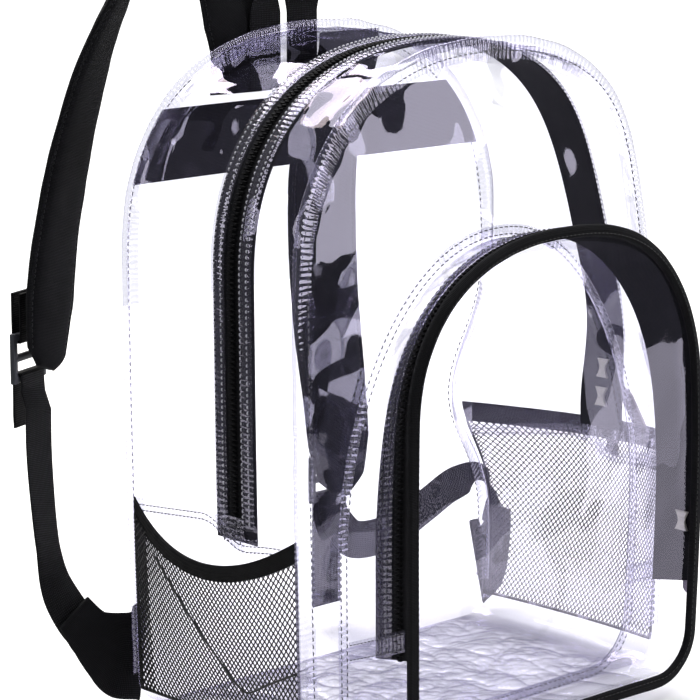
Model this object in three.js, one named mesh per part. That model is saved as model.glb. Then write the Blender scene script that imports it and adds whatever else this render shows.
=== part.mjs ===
// Clear vinyl backpack with a black coil zipper, a zipped front pocket and mesh side pockets.
// Millimetres, +Z up, +X to the right as seen from the front, and the front faces -Y.

import * as THREE from 'three';

// Body shell
const bodyWidth = 296;
const bodyDepth = 150;
const bodyHeight = 399;
const archRise = 127;
const archPower = 2.3;
const baseCorner = 18;
const sideSeamHeight = 130;
const vinyl = 1.2;
const seamGap = 0.3;
const facetSlack = 0.8;
const bindingReach = 4.5;
const bindingThickness = 2.4;
const bindingFoot = 22;

// How the soft body settles
const sideSwell = 4;
const panelSwell = 6;
const topLean = 9;
const shoulderSlump = 22;
const slumpHeight = 310;
const slumpSpread = 95;

// Main zipper, set forward of the middle of the side
const zipForward = 18;
const zipOpening = 17;
const zipTapeWidth = 34;
const tapeThickness = 1;
const coilWidth = 6;
const coilHeight = 2;
const zipFoot = 122;
const sliderHeights = [178, 160];
const pullSplay = [-20, 13];
const pullLift = 21;
const sliderLength = 12;
const sliderWidth = 9;
const sliderThickness = 4;
const sliderWaist = 0.64;
const coilEnd = 1;
const pullThickness = 2.4;
const pullNeck = 3;
const pullNeckLength = 16;
const pullTabWidth = 9;
const pullTabLength = 32;

// Black yoke across the back panel
const yokeTopDrop = 41;
const yokeHeight = 42;
const yokeThickness = 1.4;
const yokeInset = 2;

// Front pocket: a smaller arch at its base and a wider one at its face
const pocketBaseWidth = 234;
const pocketBaseTop = 288;
const pocketBaseRise = 178;
const pocketBasePower = 2.1;
const pocketFaceFlare = 6;
const pocketFaceRaise = 12;
const pocketFaceRise = 100;
const pocketFacePower = 2.35;
const pocketFloor = 9;
const pocketCorner = 30;
const pocketDepth = 55;
const pocketFlange = 7;
const pocketZipFoot = 60;
const pocketZipOpening = 14;
const pocketTapeWidth = 28;
const pocketBindingWidth = 6;
const pocketBindingDepth = 4.6;
const pocketFaceSwell = 11;
const bindingLip = 1;
const pocketSliderHeight = 96;

// Mesh side pockets with an elastic top
const meshThickness = 1.2;
const meshFoot = 20;
const meshTop = 132;
const meshBulge = 10;
const meshInset = 4;
const meshSlack = 0.2;
const elasticHeight = 12;
const elasticThickness = 1.8;

// Shoulder straps, their webbing and hardware
const strapWidth = 54;
const strapThickness = 9;
const strapRootThickness = 3;
const strapRootDrop = 9;
const strapBow = 44;
const leftStrapDrop = 184;
const rightStrapDrop = 296;
const webbingWidth = 25;
const webbingThickness = 1.4;
const webbingBow = 20;
const lockWidth = 35;
const lockHeight = 30;
const lockThickness = 3.4;
const lockBar = 4.5;
const lockClearance = 0.45;
const lockLoopReach = 26;
const lockRise = 7;
const lockSeat = 0.78;
const leftTailLength = 30;
const rightTailLength = 74;
const tabThickness = 2.2;
const tabHeight = 62;
const tabStandOff = 8.4;
const loopHeight = 52;
const loopSpread = 30;
const loopCentre = -20;

// Whole numbers of facets
const archSteps = 26;
const sideSteps = 5;
const panelColumns = 16;
const panelRows = 9;
const pocketColumns = 8;
const meshColumns = 11;
const meshRows = 6;
const yokeColumns = 14;
const yokeRows = 3;
const strapSteps = 28;
const webbingSteps = 18;
const tabSteps = 8;
const loopSteps = 22;
const cornerTurns = 4;
const outlineCornerSteps = 12;
const outlineArchSteps = 120;
const floorSteps = 4;
const cornerSteps = 5;
const rearGussetRows = 4;
const frontGussetRows = 3;
const bottomGussetRows = 6;

// Half the length over which the slope of a surface is read
const slopeStep = 0.5;

const halfWidth = bodyWidth / 2;
const halfDepth = bodyDepth / 2;
const bodyShape = {
  half: halfWidth,
  top: bodyHeight,
  rise: archRise,
  power: archPower,
  corner: baseCorner,
  floor: 0,
};
const pocketBase = {
  half: pocketBaseWidth / 2,
  top: pocketBaseTop,
  rise: pocketBaseRise,
  power: pocketBasePower,
  corner: pocketCorner,
  floor: pocketFloor,
};
const pocketFace = {
  half: (pocketBaseWidth + pocketFaceFlare) / 2,
  top: pocketBaseTop + pocketFaceRaise,
  rise: pocketFaceRise,
  power: pocketFacePower,
  corner: pocketCorner,
  floor: pocketFloor,
};

const bag = new THREE.Group();

// Colours, roughness and metalness of each finish
const finishes = {
  clear: { color: 0xe6e8ec, roughness: 0.08, metalness: 0, transparent: true, opacity: 0.3 },
  tape: { color: 0x17171a, roughness: 0.85, metalness: 0 },
  coil: { color: 0x0e0e10, roughness: 0.45, metalness: 0 },
  fabric: { color: 0x151517, roughness: 0.95, metalness: 0 },
  mesh: { color: 0x1b1b1d, roughness: 0.9, metalness: 0 },
  webbing: { color: 0x121214, roughness: 0.8, metalness: 0 },
  plastic: { color: 0x3a3b3f, roughness: 0.5, metalness: 0 },
  slider: { color: 0xcfcdc6, roughness: 0.35, metalness: 0.4 },
  pull: { color: 0x8d878b, roughness: 0.6, metalness: 0 },
};

function addPiece(name, geometry, finish) {
  geometry.computeVertexNormals();
  const piece = new THREE.Mesh(geometry, new THREE.MeshStandardMaterial(finishes[finish]));
  piece.name = name;
  bag.add(piece);
  return piece;
}

// A smooth bump of height 1 at its centre that dies away over its spread
function bump(value, centre, spread) {
  const away = (value - centre) / spread;
  return Math.exp(-away * away);
}

// Moves a point of the flat-sided pattern to where the soft bag has settled
function settle(point) {
  const up = THREE.MathUtils.clamp(point.z / bodyHeight, 0, 1);
  const across = THREE.MathUtils.clamp(point.x / halfWidth, -1.1, 1.1);
  const deep = THREE.MathUtils.clamp(point.y / halfDepth, -1, 1);
  const belly = Math.sin(Math.PI * up);
  const slump = across > 0 ? across * across * bump(point.z, slumpHeight, slumpSpread) : 0;
  const middle = Math.max(0, 1 - across * across);
  const x = point.x + across * sideSwell * belly - shoulderSlump * slump * (1 - deep) / 2;
  const y = point.y + deep * panelSwell * middle * belly + topLean * up ** 4;
  return new THREE.Vector3(x, y, point.z);
}

// Height of an outline's arched top, and of its rounded bottom, at a distance from its middle
function outlineTop(shape, x) {
  const share = Math.min(1, Math.abs(x) / shape.half);
  return shape.top - shape.rise + shape.rise * (1 - share ** shape.power) ** (1 / shape.power);
}

function outlineBottom(shape, x) {
  const past = Math.abs(x) - (shape.half - shape.corner);
  if (past <= 0) return shape.floor;
  const drop = Math.sqrt(Math.max(0, shape.corner ** 2 - past ** 2));
  return shape.floor + shape.corner - drop;
}

// A list of points with the distance along it, read at any distance
function measuredPath(points) {
  const distances = [0];
  for (let i = 1; i < points.length; i++) {
    distances.push(distances[i - 1] + points[i].distanceTo(points[i - 1]));
  }
  const length = distances[distances.length - 1];
  function at(distance) {
    const wanted = ((distance % length) + length) % length;
    let i = 1;
    while (i < points.length - 1 && distances[i] < wanted) i++;
    const share = (wanted - distances[i - 1]) / (distances[i] - distances[i - 1]);
    return points[i - 1].clone().lerp(points[i], share);
  }
  return { length, at };
}

// The closed outline of a shape: bottom middle, left side, arch, right side, bottom middle
function perimeter(shape) {
  const points = [new THREE.Vector2(0, shape.floor)];
  for (let i = 0; i <= outlineCornerSteps; i++) {
    const turn = Math.PI / 2 * i / outlineCornerSteps;
    const x = -(shape.half - shape.corner) - shape.corner * Math.sin(turn);
    points.push(new THREE.Vector2(x, shape.floor + shape.corner * (1 - Math.cos(turn))));
  }
  for (let i = 0; i <= outlineArchSteps; i++) {
    const turn = Math.PI * i / outlineArchSteps;
    const x = -shape.half * Math.sign(Math.cos(turn)) * Math.abs(Math.cos(turn)) ** (2 / shape.power);
    points.push(new THREE.Vector2(x, outlineTop(shape, x)));
  }
  const left = points.slice(0, outlineCornerSteps + 2);
  for (const point of left.reverse()) points.push(new THREE.Vector2(-point.x, point.y));
  return measuredPath(points);
}

// Distance along a shape's outline from its bottom middle to a height on its left side
function leftAt(shape, height) {
  const corner = Math.PI / 2 * shape.corner;
  return shape.half - shape.corner + corner + height - shape.floor - shape.corner;
}

// A closed geometry from points and triangles, turned so that its faces point out
function closedGeometry(points, triangles) {
  let volume = 0;
  const cross = new THREE.Vector3();
  for (const [a, b, c] of triangles) {
    volume += points[a].dot(cross.crossVectors(points[b], points[c]));
  }
  const index = [];
  for (const [a, b, c] of triangles) index.push(...(volume > 0 ? [a, b, c] : [a, c, b]));
  const geometry = new THREE.BufferGeometry();
  geometry.setFromPoints(points);
  geometry.setIndex(index);
  return geometry;
}

// A wall between two grids of points, closed all round its edge
function wallBetween(outer, inner) {
  const rows = outer.length;
  const columns = outer[0].length;
  const points = [...outer.flat(), ...inner.flat()];
  const triangles = [];
  const front = (i, j) => i * columns + j;
  const back = (i, j) => rows * columns + i * columns + j;
  const quad = (a, b, c, d) => triangles.push([a, b, c], [a, c, d]);
  for (let i = 0; i < rows - 1; i++) {
    for (let j = 0; j < columns - 1; j++) {
      quad(front(i, j), front(i + 1, j), front(i + 1, j + 1), front(i, j + 1));
      quad(back(i, j), back(i, j + 1), back(i + 1, j + 1), back(i + 1, j));
    }
    const last = columns - 1;
    quad(front(i, 0), back(i, 0), back(i + 1, 0), front(i + 1, 0));
    quad(front(i, last), front(i + 1, last), back(i + 1, last), back(i, last));
  }
  for (let j = 0; j < columns - 1; j++) {
    const last = rows - 1;
    quad(front(0, j), front(0, j + 1), back(0, j + 1), back(0, j));
    quad(front(last, j), back(last, j), back(last, j + 1), front(last, j + 1));
  }
  return closedGeometry(points, triangles);
}

// The direction square to a surface at a place on it
function surfaceNormal(surface, s, t) {
  const along = surface(s + slopeStep, t).sub(surface(s - slopeStep, t));
  const acrossIt = surface(s, t + slopeStep).sub(surface(s, t - slopeStep));
  return along.cross(acrossIt).normalize();
}

// A strip of a surface, its two faces at given distances outside it
function strip(surface, stations, depths, outer, inner) {
  const rows = (distance) => stations.map((s) => depths.map((t) => (
    surface(s, t).addScaledVector(surfaceNormal(surface, s, t), distance)
  )));
  return wallBetween(rows(outer), rows(inner));
}

function evenly(from, to, steps) {
  return Array.from({ length: steps + 1 }, (_, i) => from + (to - from) * i / steps);
}

// A bar swept through closed sections, capped at both ends, or joined end to end as a ring
function sweep(sections, ring = false) {
  const size = sections[0].length;
  const count = sections.length;
  const points = sections.flat();
  const triangles = [];
  for (let i = 0; i < (ring ? count : count - 1); i++) {
    for (let j = 0; j < size; j++) {
      const a = i * size + j;
      const b = i * size + (j + 1) % size;
      const c = ((i + 1) % count) * size + (j + 1) % size;
      const d = ((i + 1) % count) * size + j;
      triangles.push([a, b, c], [a, c, d]);
    }
  }
  if (!ring) {
    const last = (count - 1) * size;
    for (let j = 1; j < size - 1; j++) {
      triangles.push([0, j + 1, j], [last, last + j, last + j + 1]);
    }
  }
  return closedGeometry(points, triangles);
}

// The main body's side wall: distance round the outline and place from front to back
const bodyOutline = perimeter(bodyShape);

function bodySide(distance, y) {
  const point = bodyOutline.at(distance);
  return settle(new THREE.Vector3(point.x, y, point.y));
}

// A flat panel cut to a shape, as a grid of points whose edge is the shape's outline
function panelGrid(shape, y, columns, rows) {
  const grid = [];
  for (let i = 0; i <= columns; i++) {
    const x = -shape.half * Math.cos(Math.PI * i / columns);
    const low = outlineBottom(shape, x);
    const high = outlineTop(shape, x);
    grid.push(evenly(low, high, rows).map((z) => y(x, z)));
  }
  return grid;
}

function bodyPanel(face, inside) {
  const place = (depth) => (x, z) => settle(new THREE.Vector3(x, depth, z));
  const outer = panelGrid(bodyShape, place(face), panelColumns, panelRows);
  const inner = panelGrid(bodyShape, place(inside), panelColumns, panelRows);
  return wallBetween(outer, inner);
}

const panelInside = halfDepth - vinyl;
const gussetEdge = panelInside - seamGap;
const zipRearEdge = -zipForward + zipOpening / 2;
const zipFrontEdge = -zipForward - zipOpening / 2;
const seamStart = leftAt(bodyShape, sideSeamHeight);
const outlineLength = bodyOutline.length;

// Distances along an outline that every strip on it shares, so that their facets run together
function sharedStations(outline, shape, from, to) {
  const archFoot = leftAt(shape, shape.top - shape.rise);
  const cornerEnd = leftAt(shape, shape.floor + shape.corner);
  const cornerStart = shape.half - shape.corner;
  const half = [
    ...evenly(0, cornerStart, floorSteps),
    ...evenly(cornerStart, cornerEnd, cornerSteps),
    ...evenly(cornerEnd, archFoot, sideSteps),
  ];
  const all = [
    ...half.map((s) => -s),
    ...half,
    ...evenly(archFoot, outline.length - archFoot, archSteps),
    ...half.map((s) => outline.length - s),
  ];
  const near = facetSlack;
  const inside = all.filter((s) => s > from + near && s < to - near).sort((a, b) => a - b);
  const apart = inside.filter((s, i) => i === 0 || s - inside[i - 1] > near);
  return [from, ...apart, to];
}

function makeBody() {
  addPiece('back_panel', bodyPanel(halfDepth, panelInside), 'clear');
  addPiece('front_panel', bodyPanel(-halfDepth, -panelInside), 'clear');
  const halfGap = seamGap / 2;
  const arch = bodyStations(seamStart + halfGap, outlineLength - seamStart - halfGap);
  const rearDepths = evenly(zipRearEdge, gussetEdge, rearGussetRows);
  const frontDepths = evenly(-gussetEdge, zipFrontEdge, frontGussetRows);
  addPiece('gusset_rear', strip(bodySide, arch, rearDepths, 0, -vinyl), 'clear');
  addPiece('gusset_front', strip(bodySide, arch, frontDepths, 0, -vinyl), 'clear');
  const under = bodyStations(halfGap - seamStart, seamStart - halfGap);
  const underDepths = evenly(-gussetEdge, gussetEdge, bottomGussetRows);
  addPiece('bottom_gusset', strip(bodySide, under, underDepths, 0, -vinyl), 'clear');
}

function bodyStations(from, to) {
  return sharedStations(bodyOutline, bodyShape, from, to);
}

// Folded seam binding that stands out round the edge of each panel
function makeBindings() {
  const foot = leftAt(bodyShape, bindingFoot);
  const run = bodyStations(foot, outlineLength - foot);
  const inner = seamGap + facetSlack;
  const rear = [halfDepth - bindingThickness, halfDepth];
  const front = [-halfDepth, -halfDepth + bindingThickness];
  addPiece('back_binding', strip(bodySide, run, rear, bindingReach, inner), 'clear');
  addPiece('front_binding', strip(bodySide, run, front, bindingReach, inner), 'clear');
}

// Frame on a side wall: outward, and along the outline towards its end
function sideFrame(surface, s, t, lift) {
  const out = surfaceNormal(surface, s, t);
  const along = surface(s + slopeStep, t).sub(surface(s - slopeStep, t)).normalize();
  const wide = new THREE.Vector3().crossVectors(along, out).normalize();
  const origin = surface(s, t).addScaledVector(out, lift);
  return new THREE.Matrix4().makeBasis(wide, along, out).setPosition(origin);
}

function sliderShape() {
  const half = sliderWidth / 2;
  const end = sliderLength / 2;
  const waist = half * sliderWaist;
  const shape = new THREE.Shape();
  shape.moveTo(-half, end);
  shape.quadraticCurveTo(-waist, 0, -half, -end);
  shape.lineTo(half, -end);
  shape.quadraticCurveTo(waist, 0, half, end);
  shape.closePath();
  return shape;
}

// A thin cord neck that widens into a rounded moulded tab, hanging along +Y of its own frame
function pullShape() {
  const half = pullTabWidth / 2;
  const neckHalf = pullNeck / 2;
  const end = pullNeckLength + pullTabLength;
  const shape = new THREE.Shape();
  shape.moveTo(-neckHalf, 0);
  shape.lineTo(neckHalf, 0);
  shape.lineTo(neckHalf, pullNeckLength);
  shape.quadraticCurveTo(half, pullNeckLength, half, pullNeckLength + half);
  shape.lineTo(half, end - half);
  shape.absarc(0, end - half, half, 0, Math.PI, false);
  shape.lineTo(-half, pullNeckLength + half);
  shape.quadraticCurveTo(-half, pullNeckLength, -neckHalf, pullNeckLength);
  shape.closePath();
  return shape;
}

function plate(shape, thickness, matrix) {
  const options = { depth: thickness, bevelEnabled: false, curveSegments: cornerSteps };
  const geometry = new THREE.ExtrudeGeometry(shape, options);
  geometry.applyMatrix4(matrix);
  return geometry;
}

const tapeFace = -vinyl - seamGap;
const coilFoot = tapeFace + seamGap;

function makeZipper() {
  const foot = leftAt(bodyShape, zipFoot);
  const tapeRun = bodyStations(foot, outlineLength - foot);
  const tapeEdges = [-zipForward - zipTapeWidth / 2, -zipForward, -zipForward + zipTapeWidth / 2];
  const tape = strip(bodySide, tapeRun, tapeEdges, tapeFace, tapeFace - tapeThickness);
  addPiece('main_zipper_tape', tape, 'tape');
  const coilRun = bodyStations(seamStart + coilEnd, outlineLength - seamStart - coilEnd);
  const coilEdges = [-zipForward - coilWidth / 2, -zipForward + coilWidth / 2];
  const coil = strip(bodySide, coilRun, coilEdges, coilFoot + coilHeight, coilFoot);
  addPiece('main_zipper_coil', coil, 'coil');
  const lift = coilFoot + coilHeight + seamGap;
  ['upper', 'lower'].forEach((name, i) => {
    const distance = outlineLength - leftAt(bodyShape, sliderHeights[i]);
    const place = sideFrame(bodySide, distance, -zipForward, lift);
    addSlider(`main_slider_${name}`, `main_pull_${name}`, place, pullSplay[i], pullLift);
  });
}

// A slider on the coil, and its pull hanging from it, splayed to a side and lifted off the wall
function addSlider(name, pullName, place, splay, tilt) {
  addPiece(name, plate(sliderShape(), sliderThickness, place), 'slider');
  const hang = place.clone();
  hang.multiply(new THREE.Matrix4().makeTranslation(0, 0, sliderThickness + seamGap));
  hang.multiply(new THREE.Matrix4().makeRotationZ(THREE.MathUtils.degToRad(splay)));
  hang.multiply(new THREE.Matrix4().makeRotationX(THREE.MathUtils.degToRad(tilt)));
  addPiece(pullName, plate(pullShape(), pullThickness, hang), 'pull');
}

// Black band sewn across the back panel where the straps are fixed
function makeYoke() {
  const top = bodyHeight - yokeTopDrop;
  const archStart = bodyHeight - archRise;
  const grid = (depth) => evenly(-1, 1, yokeColumns).map((across) => (
    evenly(top - yokeHeight, top, yokeRows).map((z) => {
      const share = Math.max(0, (z - archStart) / archRise);
      const reach = halfWidth * (1 - share ** archPower) ** (1 / archPower) - yokeInset;
      const point = settle(new THREE.Vector3(across * reach, halfDepth, z));
      return point.setY(point.y + depth);
    })
  ));
  addPiece('back_yoke', wallBetween(grid(seamGap + yokeThickness), grid(seamGap)), 'fabric');
}

// Front pocket side wall: distance round the outline from its bottom middle, first up the right side,
// and reach from the body out to the face. A negative reach lies on the front panel as the sewn flange.
const baseOutline = perimeter(pocketBase);
const faceOutline = perimeter(pocketFace);
const pocketStart = -halfDepth - seamGap - vinyl;
const baseLength = baseOutline.length;

function pocketSide(distance, reach) {
  const base = baseOutline.at(-distance);
  if (reach < 0) {
    const along = baseOutline.at(slopeStep - distance).sub(baseOutline.at(-slopeStep - distance)).normalize();
    base.addScaledVector(new THREE.Vector2(-along.y, along.x), -reach);
    return settle(new THREE.Vector3(base.x, pocketStart, base.y));
  }
  const face = faceOutline.at(-distance * faceOutline.length / baseLength);
  const point = base.lerp(face, Math.min(1, reach / pocketDepth));
  return settle(new THREE.Vector3(point.x, pocketStart - reach, point.y));
}

const pocketWallEnd = pocketDepth - pocketBindingDepth;
const pocketGussetEnd = pocketWallEnd - pocketZipOpening;
const pocketTapeStart = pocketWallEnd - seamGap - pocketTapeWidth;
const pocketTurn = leftAt(pocketBase, pocketZipFoot);

function pocketStations(from, to) {
  return sharedStations(baseOutline, pocketBase, from, to);
}

function makePocket() {
  const flangeRows = [-pocketFlange, -facetSlack, facetSlack];
  const coilMiddle = pocketGussetEnd + pocketZipOpening / 2;
  const coilRows = [coilMiddle - coilWidth / 2, coilMiddle + coilWidth / 2];
  const tapeRows = [pocketTapeStart, pocketGussetEnd, ...coilRows, pocketWallEnd - seamGap];
  const wall = [...flangeRows, pocketTapeStart, pocketGussetEnd];
  const arch = pocketStations(pocketTurn + seamGap, baseLength - pocketTurn - seamGap);
  addPiece('pocket_gusset', strip(pocketSide, arch, wall, 0, -vinyl), 'clear');
  const under = pocketStations(-pocketTurn, pocketTurn);
  const deepWall = [...flangeRows, pocketTapeStart, pocketGussetEnd, pocketWallEnd - seamGap];
  addPiece('pocket_lower_gusset', strip(pocketSide, under, deepWall, 0, -vinyl), 'clear');
  const tape = strip(pocketSide, arch, tapeRows, tapeFace, tapeFace - tapeThickness);
  addPiece('pocket_zipper_tape', tape, 'tape');
  const coil = strip(pocketSide, arch, coilRows, coilFoot + coilHeight, coilFoot);
  addPiece('pocket_zipper_coil', coil, 'coil');
  const sliderAt = leftAt(pocketBase, pocketSliderHeight);
  const lift = coilFoot + coilHeight + seamGap;
  const turnedDown = 180;
  addSlider('pocket_slider', 'pocket_pull', sideFrame(pocketSide, sliderAt, coilMiddle, lift), turnedDown, 0);
}

// A point of the pocket's rim, at a reach from the body and a lift out from the side wall
function pocketRim(distance, reach, lift) {
  return pocketSide(distance, reach).addScaledVector(surfaceNormal(pocketSide, distance, pocketWallEnd), lift);
}

// A ring of square section round the pocket's face, and the clear face inside it, which swells out
// from its edge
function makePocketFace() {
  const sections = pocketStations(0, baseLength).slice(1).map((distance) => [
    pocketRim(distance, pocketWallEnd, bindingLip),
    pocketRim(distance, pocketDepth, bindingLip),
    pocketRim(distance, pocketDepth, -pocketBindingWidth),
    pocketRim(distance, pocketWallEnd, -pocketBindingWidth),
  ]);
  addPiece('pocket_binding', sweep(sections, true), 'fabric');
  const floorEnd = pocketBase.half - pocketBase.corner;
  const rise = pocketStations(floorEnd, baseLength / 2).slice(0, -1);
  const inset = -pocketBindingWidth - seamGap;
  const face = (depth) => rise.map((distance, i) => {
    const right = pocketRim(distance, pocketWallEnd, inset);
    const left = pocketRim(baseLength - distance, pocketWallEnd, inset);
    const belly = Math.sin(Math.PI * i / (rise.length - 1));
    return evenly(-1, 1, pocketColumns).map((across) => {
      const point = left.clone().lerp(right, (across + 1) / 2);
      return point.setY(point.y - depth - pocketFaceSwell * (1 - across * across) * belly);
    });
  });
  addPiece('pocket_front', wallBetween(face(vinyl), face(0)), 'clear');
}

// Mesh pocket on each side: from the back edge to the front edge, and from its foot to a sagging
// top, standing further out towards the top. The near one's elastic hangs lower than the far one's.
const meshSides = [
  { name: 'left', side: -1, rise: 0, sag: 24 },
  { name: 'right', side: 1, rise: 16, sag: 6 },
];

function makeMeshPockets() {
  const reach = halfDepth - meshInset;
  const bandShare = elasticHeight / (meshTop - meshFoot);
  const gapShare = seamGap / (meshTop - meshFoot);
  for (const row of meshSides) {
    const edge = (y) => meshTop + row.rise - row.sag * (1 - (y / reach) ** 2);
    const place = (y, share, lift) => {
      const z = meshFoot + (edge(y) - meshFoot) * share;
      const left = leftAt(bodyShape, z);
      const wall = bodySide(row.side < 0 ? left : outlineLength - left, y);
      const bulge = meshBulge * (1 - (y / reach) ** 2) * share ** 0.7;
      return wall.setX(wall.x + row.side * (seamGap + meshSlack + bulge + lift));
    };
    const cloth = (shares, thickness) => {
      const grid = (lift) => evenly(-reach, reach, meshColumns).map((y) => (
        shares.map((share) => place(y, share, lift))
      ));
      return wallBetween(grid(thickness), grid(0));
    };
    const net = cloth(evenly(0, 1 - bandShare - gapShare, meshRows), meshThickness);
    addPiece(`mesh_pocket_${row.name}`, net, 'mesh');
    addPiece(`mesh_elastic_${row.name}`, cloth(evenly(1 - bandShare, 1, 2), elasticThickness), 'fabric');
  }
}

// Corners of a flat strap's section, and of a padded one with its edges drawn in, as shares of half
// its width and half its thickness
const flatSection = [[-1, -1], [1, -1], [1, 1], [-1, 1]];
const paddedSection = [
  [-1, -0.35], [-0.8, -0.9], [0, -1], [0.8, -0.9], [1, -0.35],
  [1, 0.35], [0.8, 0.9], [0, 1], [-0.8, 0.9], [-1, 0.35],
];

// A strap's sections at stations that each have a centre, a width direction, a width and a thickness
function strapSections(stations, section = flatSection) {
  const curve = new THREE.CatmullRomCurve3(stations.map((row) => row.centre), false, 'centripetal');
  const count = stations.length - 1;
  return stations.map((row, i) => {
    const along = curve.getTangent(i / count);
    const wide = row.wide.clone().addScaledVector(along, -row.wide.dot(along)).normalize();
    const thick = new THREE.Vector3().crossVectors(along, wide);
    return section.map(([u, v]) => row.centre.clone()
      .addScaledVector(wide, u * row.width / 2)
      .addScaledVector(thick, v * row.thickness / 2));
  });
}

// Reads a short table of stations at even steps along a smooth curve through them
function throughStations(table, steps) {
  const centres = table.map((row) => new THREE.Vector3(row.x, row.y, row.z));
  const curve = new THREE.CatmullRomCurve3(centres, false, 'centripetal');
  return evenly(0, 1, steps).map((share) => {
    const place = share * (table.length - 1);
    const i = Math.min(table.length - 2, Math.floor(place));
    const part = place - i;
    const blend = (name) => THREE.MathUtils.lerp(table[i][name], table[i + 1][name], part);
    const turn = THREE.MathUtils.degToRad(blend('turn'));
    const tip = THREE.MathUtils.degToRad(blend('tip'));
    const wide = new THREE.Vector3(
      Math.cos(turn) * Math.cos(tip),
      Math.sin(turn) * Math.cos(tip),
      Math.sin(tip),
    );
    return { centre: curve.getPoint(share), wide, width: blend('width'), thickness: blend('thickness') };
  });
}

const rootTop = settle(new THREE.Vector3(0, halfDepth, bodyHeight));
const loopRear = rootTop.y + seamGap + webbingThickness / 2;
const strapRear = loopRear + webbingThickness / 2 + seamGap + strapRootThickness / 2;
const rootFoot = rootTop.z - strapRootDrop;

// Stations of each padded strap, from its sewn root to its lower end. Across is a share of half the
// bag's width, behind is a share of the strap's bow, and drop is a share of how far it hangs.
// Turn swings the strap's width about the vertical, and tip tilts it.
const strapTables = {
  left: [
    { across: -0.35, behind: 0, drop: 0.15, turn: 0, tip: 6, width: 0.92, thickness: 0.33 },
    { across: -0.35, behind: 0, drop: 0, turn: 0, tip: 8, width: 0.92, thickness: 0.33 },
    { across: -0.39, behind: 0.01, drop: -0.11, turn: 4, tip: 12, width: 0.96, thickness: 0.36 },
    { across: -0.46, behind: 0.11, drop: -0.25, turn: 22, tip: 16, width: 1, thickness: 0.8 },
    { across: -0.57, behind: 0.36, drop: -0.34, turn: 40, tip: 10, width: 1, thickness: 1 },
    { across: -0.71, behind: 0.64, drop: -0.29, turn: 40, tip: 10, width: 1, thickness: 1 },
    { across: -0.82, behind: 0.82, drop: -0.12, turn: 32, tip: 14, width: 1, thickness: 1 },
    { across: -0.92, behind: 0.93, drop: 0.09, turn: 26, tip: 14, width: 1, thickness: 1 },
    { across: -1.01, behind: 1, drop: 0.34, turn: 24, tip: 12, width: 1, thickness: 1 },
    { across: -1.09, behind: 0.98, drop: 0.59, turn: 24, tip: 9, width: 1, thickness: 1 },
    { across: -1.15, behind: 0.89, drop: 0.8, turn: 22, tip: 6, width: 0.96, thickness: 0.95 },
    { across: -1.19, behind: 0.8, drop: 0.95, turn: 20, tip: 4, width: 0.72, thickness: 0.8 },
    { across: -1.21, behind: 0.75, drop: 1, turn: 20, tip: 4, width: 0.34, thickness: 0.5 },
  ],
  right: [
    { across: 0.24, behind: -0.04, drop: -0.015, turn: 0, tip: -4, width: 0.92, thickness: 0.33 },
    { across: 0.24, behind: -0.02, drop: 0.03, turn: 0, tip: -4, width: 0.94, thickness: 0.4 },
    { across: 0.24, behind: 0.1, drop: 0.07, turn: 0, tip: -2, width: 1, thickness: 0.8 },
    { across: 0.24, behind: 0.3, drop: 0.13, turn: 0, tip: 0, width: 1, thickness: 1 },
    { across: 0.26, behind: 0.52, drop: 0.22, turn: -2, tip: 0, width: 1, thickness: 1 },
    { across: 0.27, behind: 0.64, drop: 0.31, turn: -4, tip: 0, width: 1, thickness: 1 },
    { across: 0.28, behind: 0.68, drop: 0.42, turn: -4, tip: 0, width: 1, thickness: 1 },
    { across: 0.285, behind: 0.66, drop: 0.53, turn: -4, tip: 0, width: 1, thickness: 1 },
    { across: 0.3, behind: 0.62, drop: 0.66, turn: -3, tip: 0, width: 1, thickness: 1 },
    { across: 0.32, behind: 0.57, drop: 0.78, turn: 0, tip: 0, width: 1, thickness: 1 },
    { across: 0.33, behind: 0.51, drop: 0.89, turn: 0, tip: 0, width: 0.96, thickness: 0.95 },
    { across: 0.335, behind: 0.47, drop: 0.97, turn: 0, tip: 0, width: 0.72, thickness: 0.8 },
    { across: 0.335, behind: 0.45, drop: 1, turn: 0, tip: 0, width: 0.34, thickness: 0.5 },
  ],
};
const strapDrops = { left: leftStrapDrop, right: rightStrapDrop };
const tailLengths = { left: leftTailLength, right: rightTailLength };

function strapRun(name) {
  const placed = strapTables[name].map((row) => ({
    x: row.across * halfWidth,
    y: strapRear + row.behind * strapBow,
    z: rootFoot - row.drop * strapDrops[name],
    turn: row.turn,
    tip: row.tip,
    width: row.width * strapWidth,
    thickness: row.thickness * strapThickness,
  }));
  return throughStations(placed, strapSteps);
}

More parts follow.
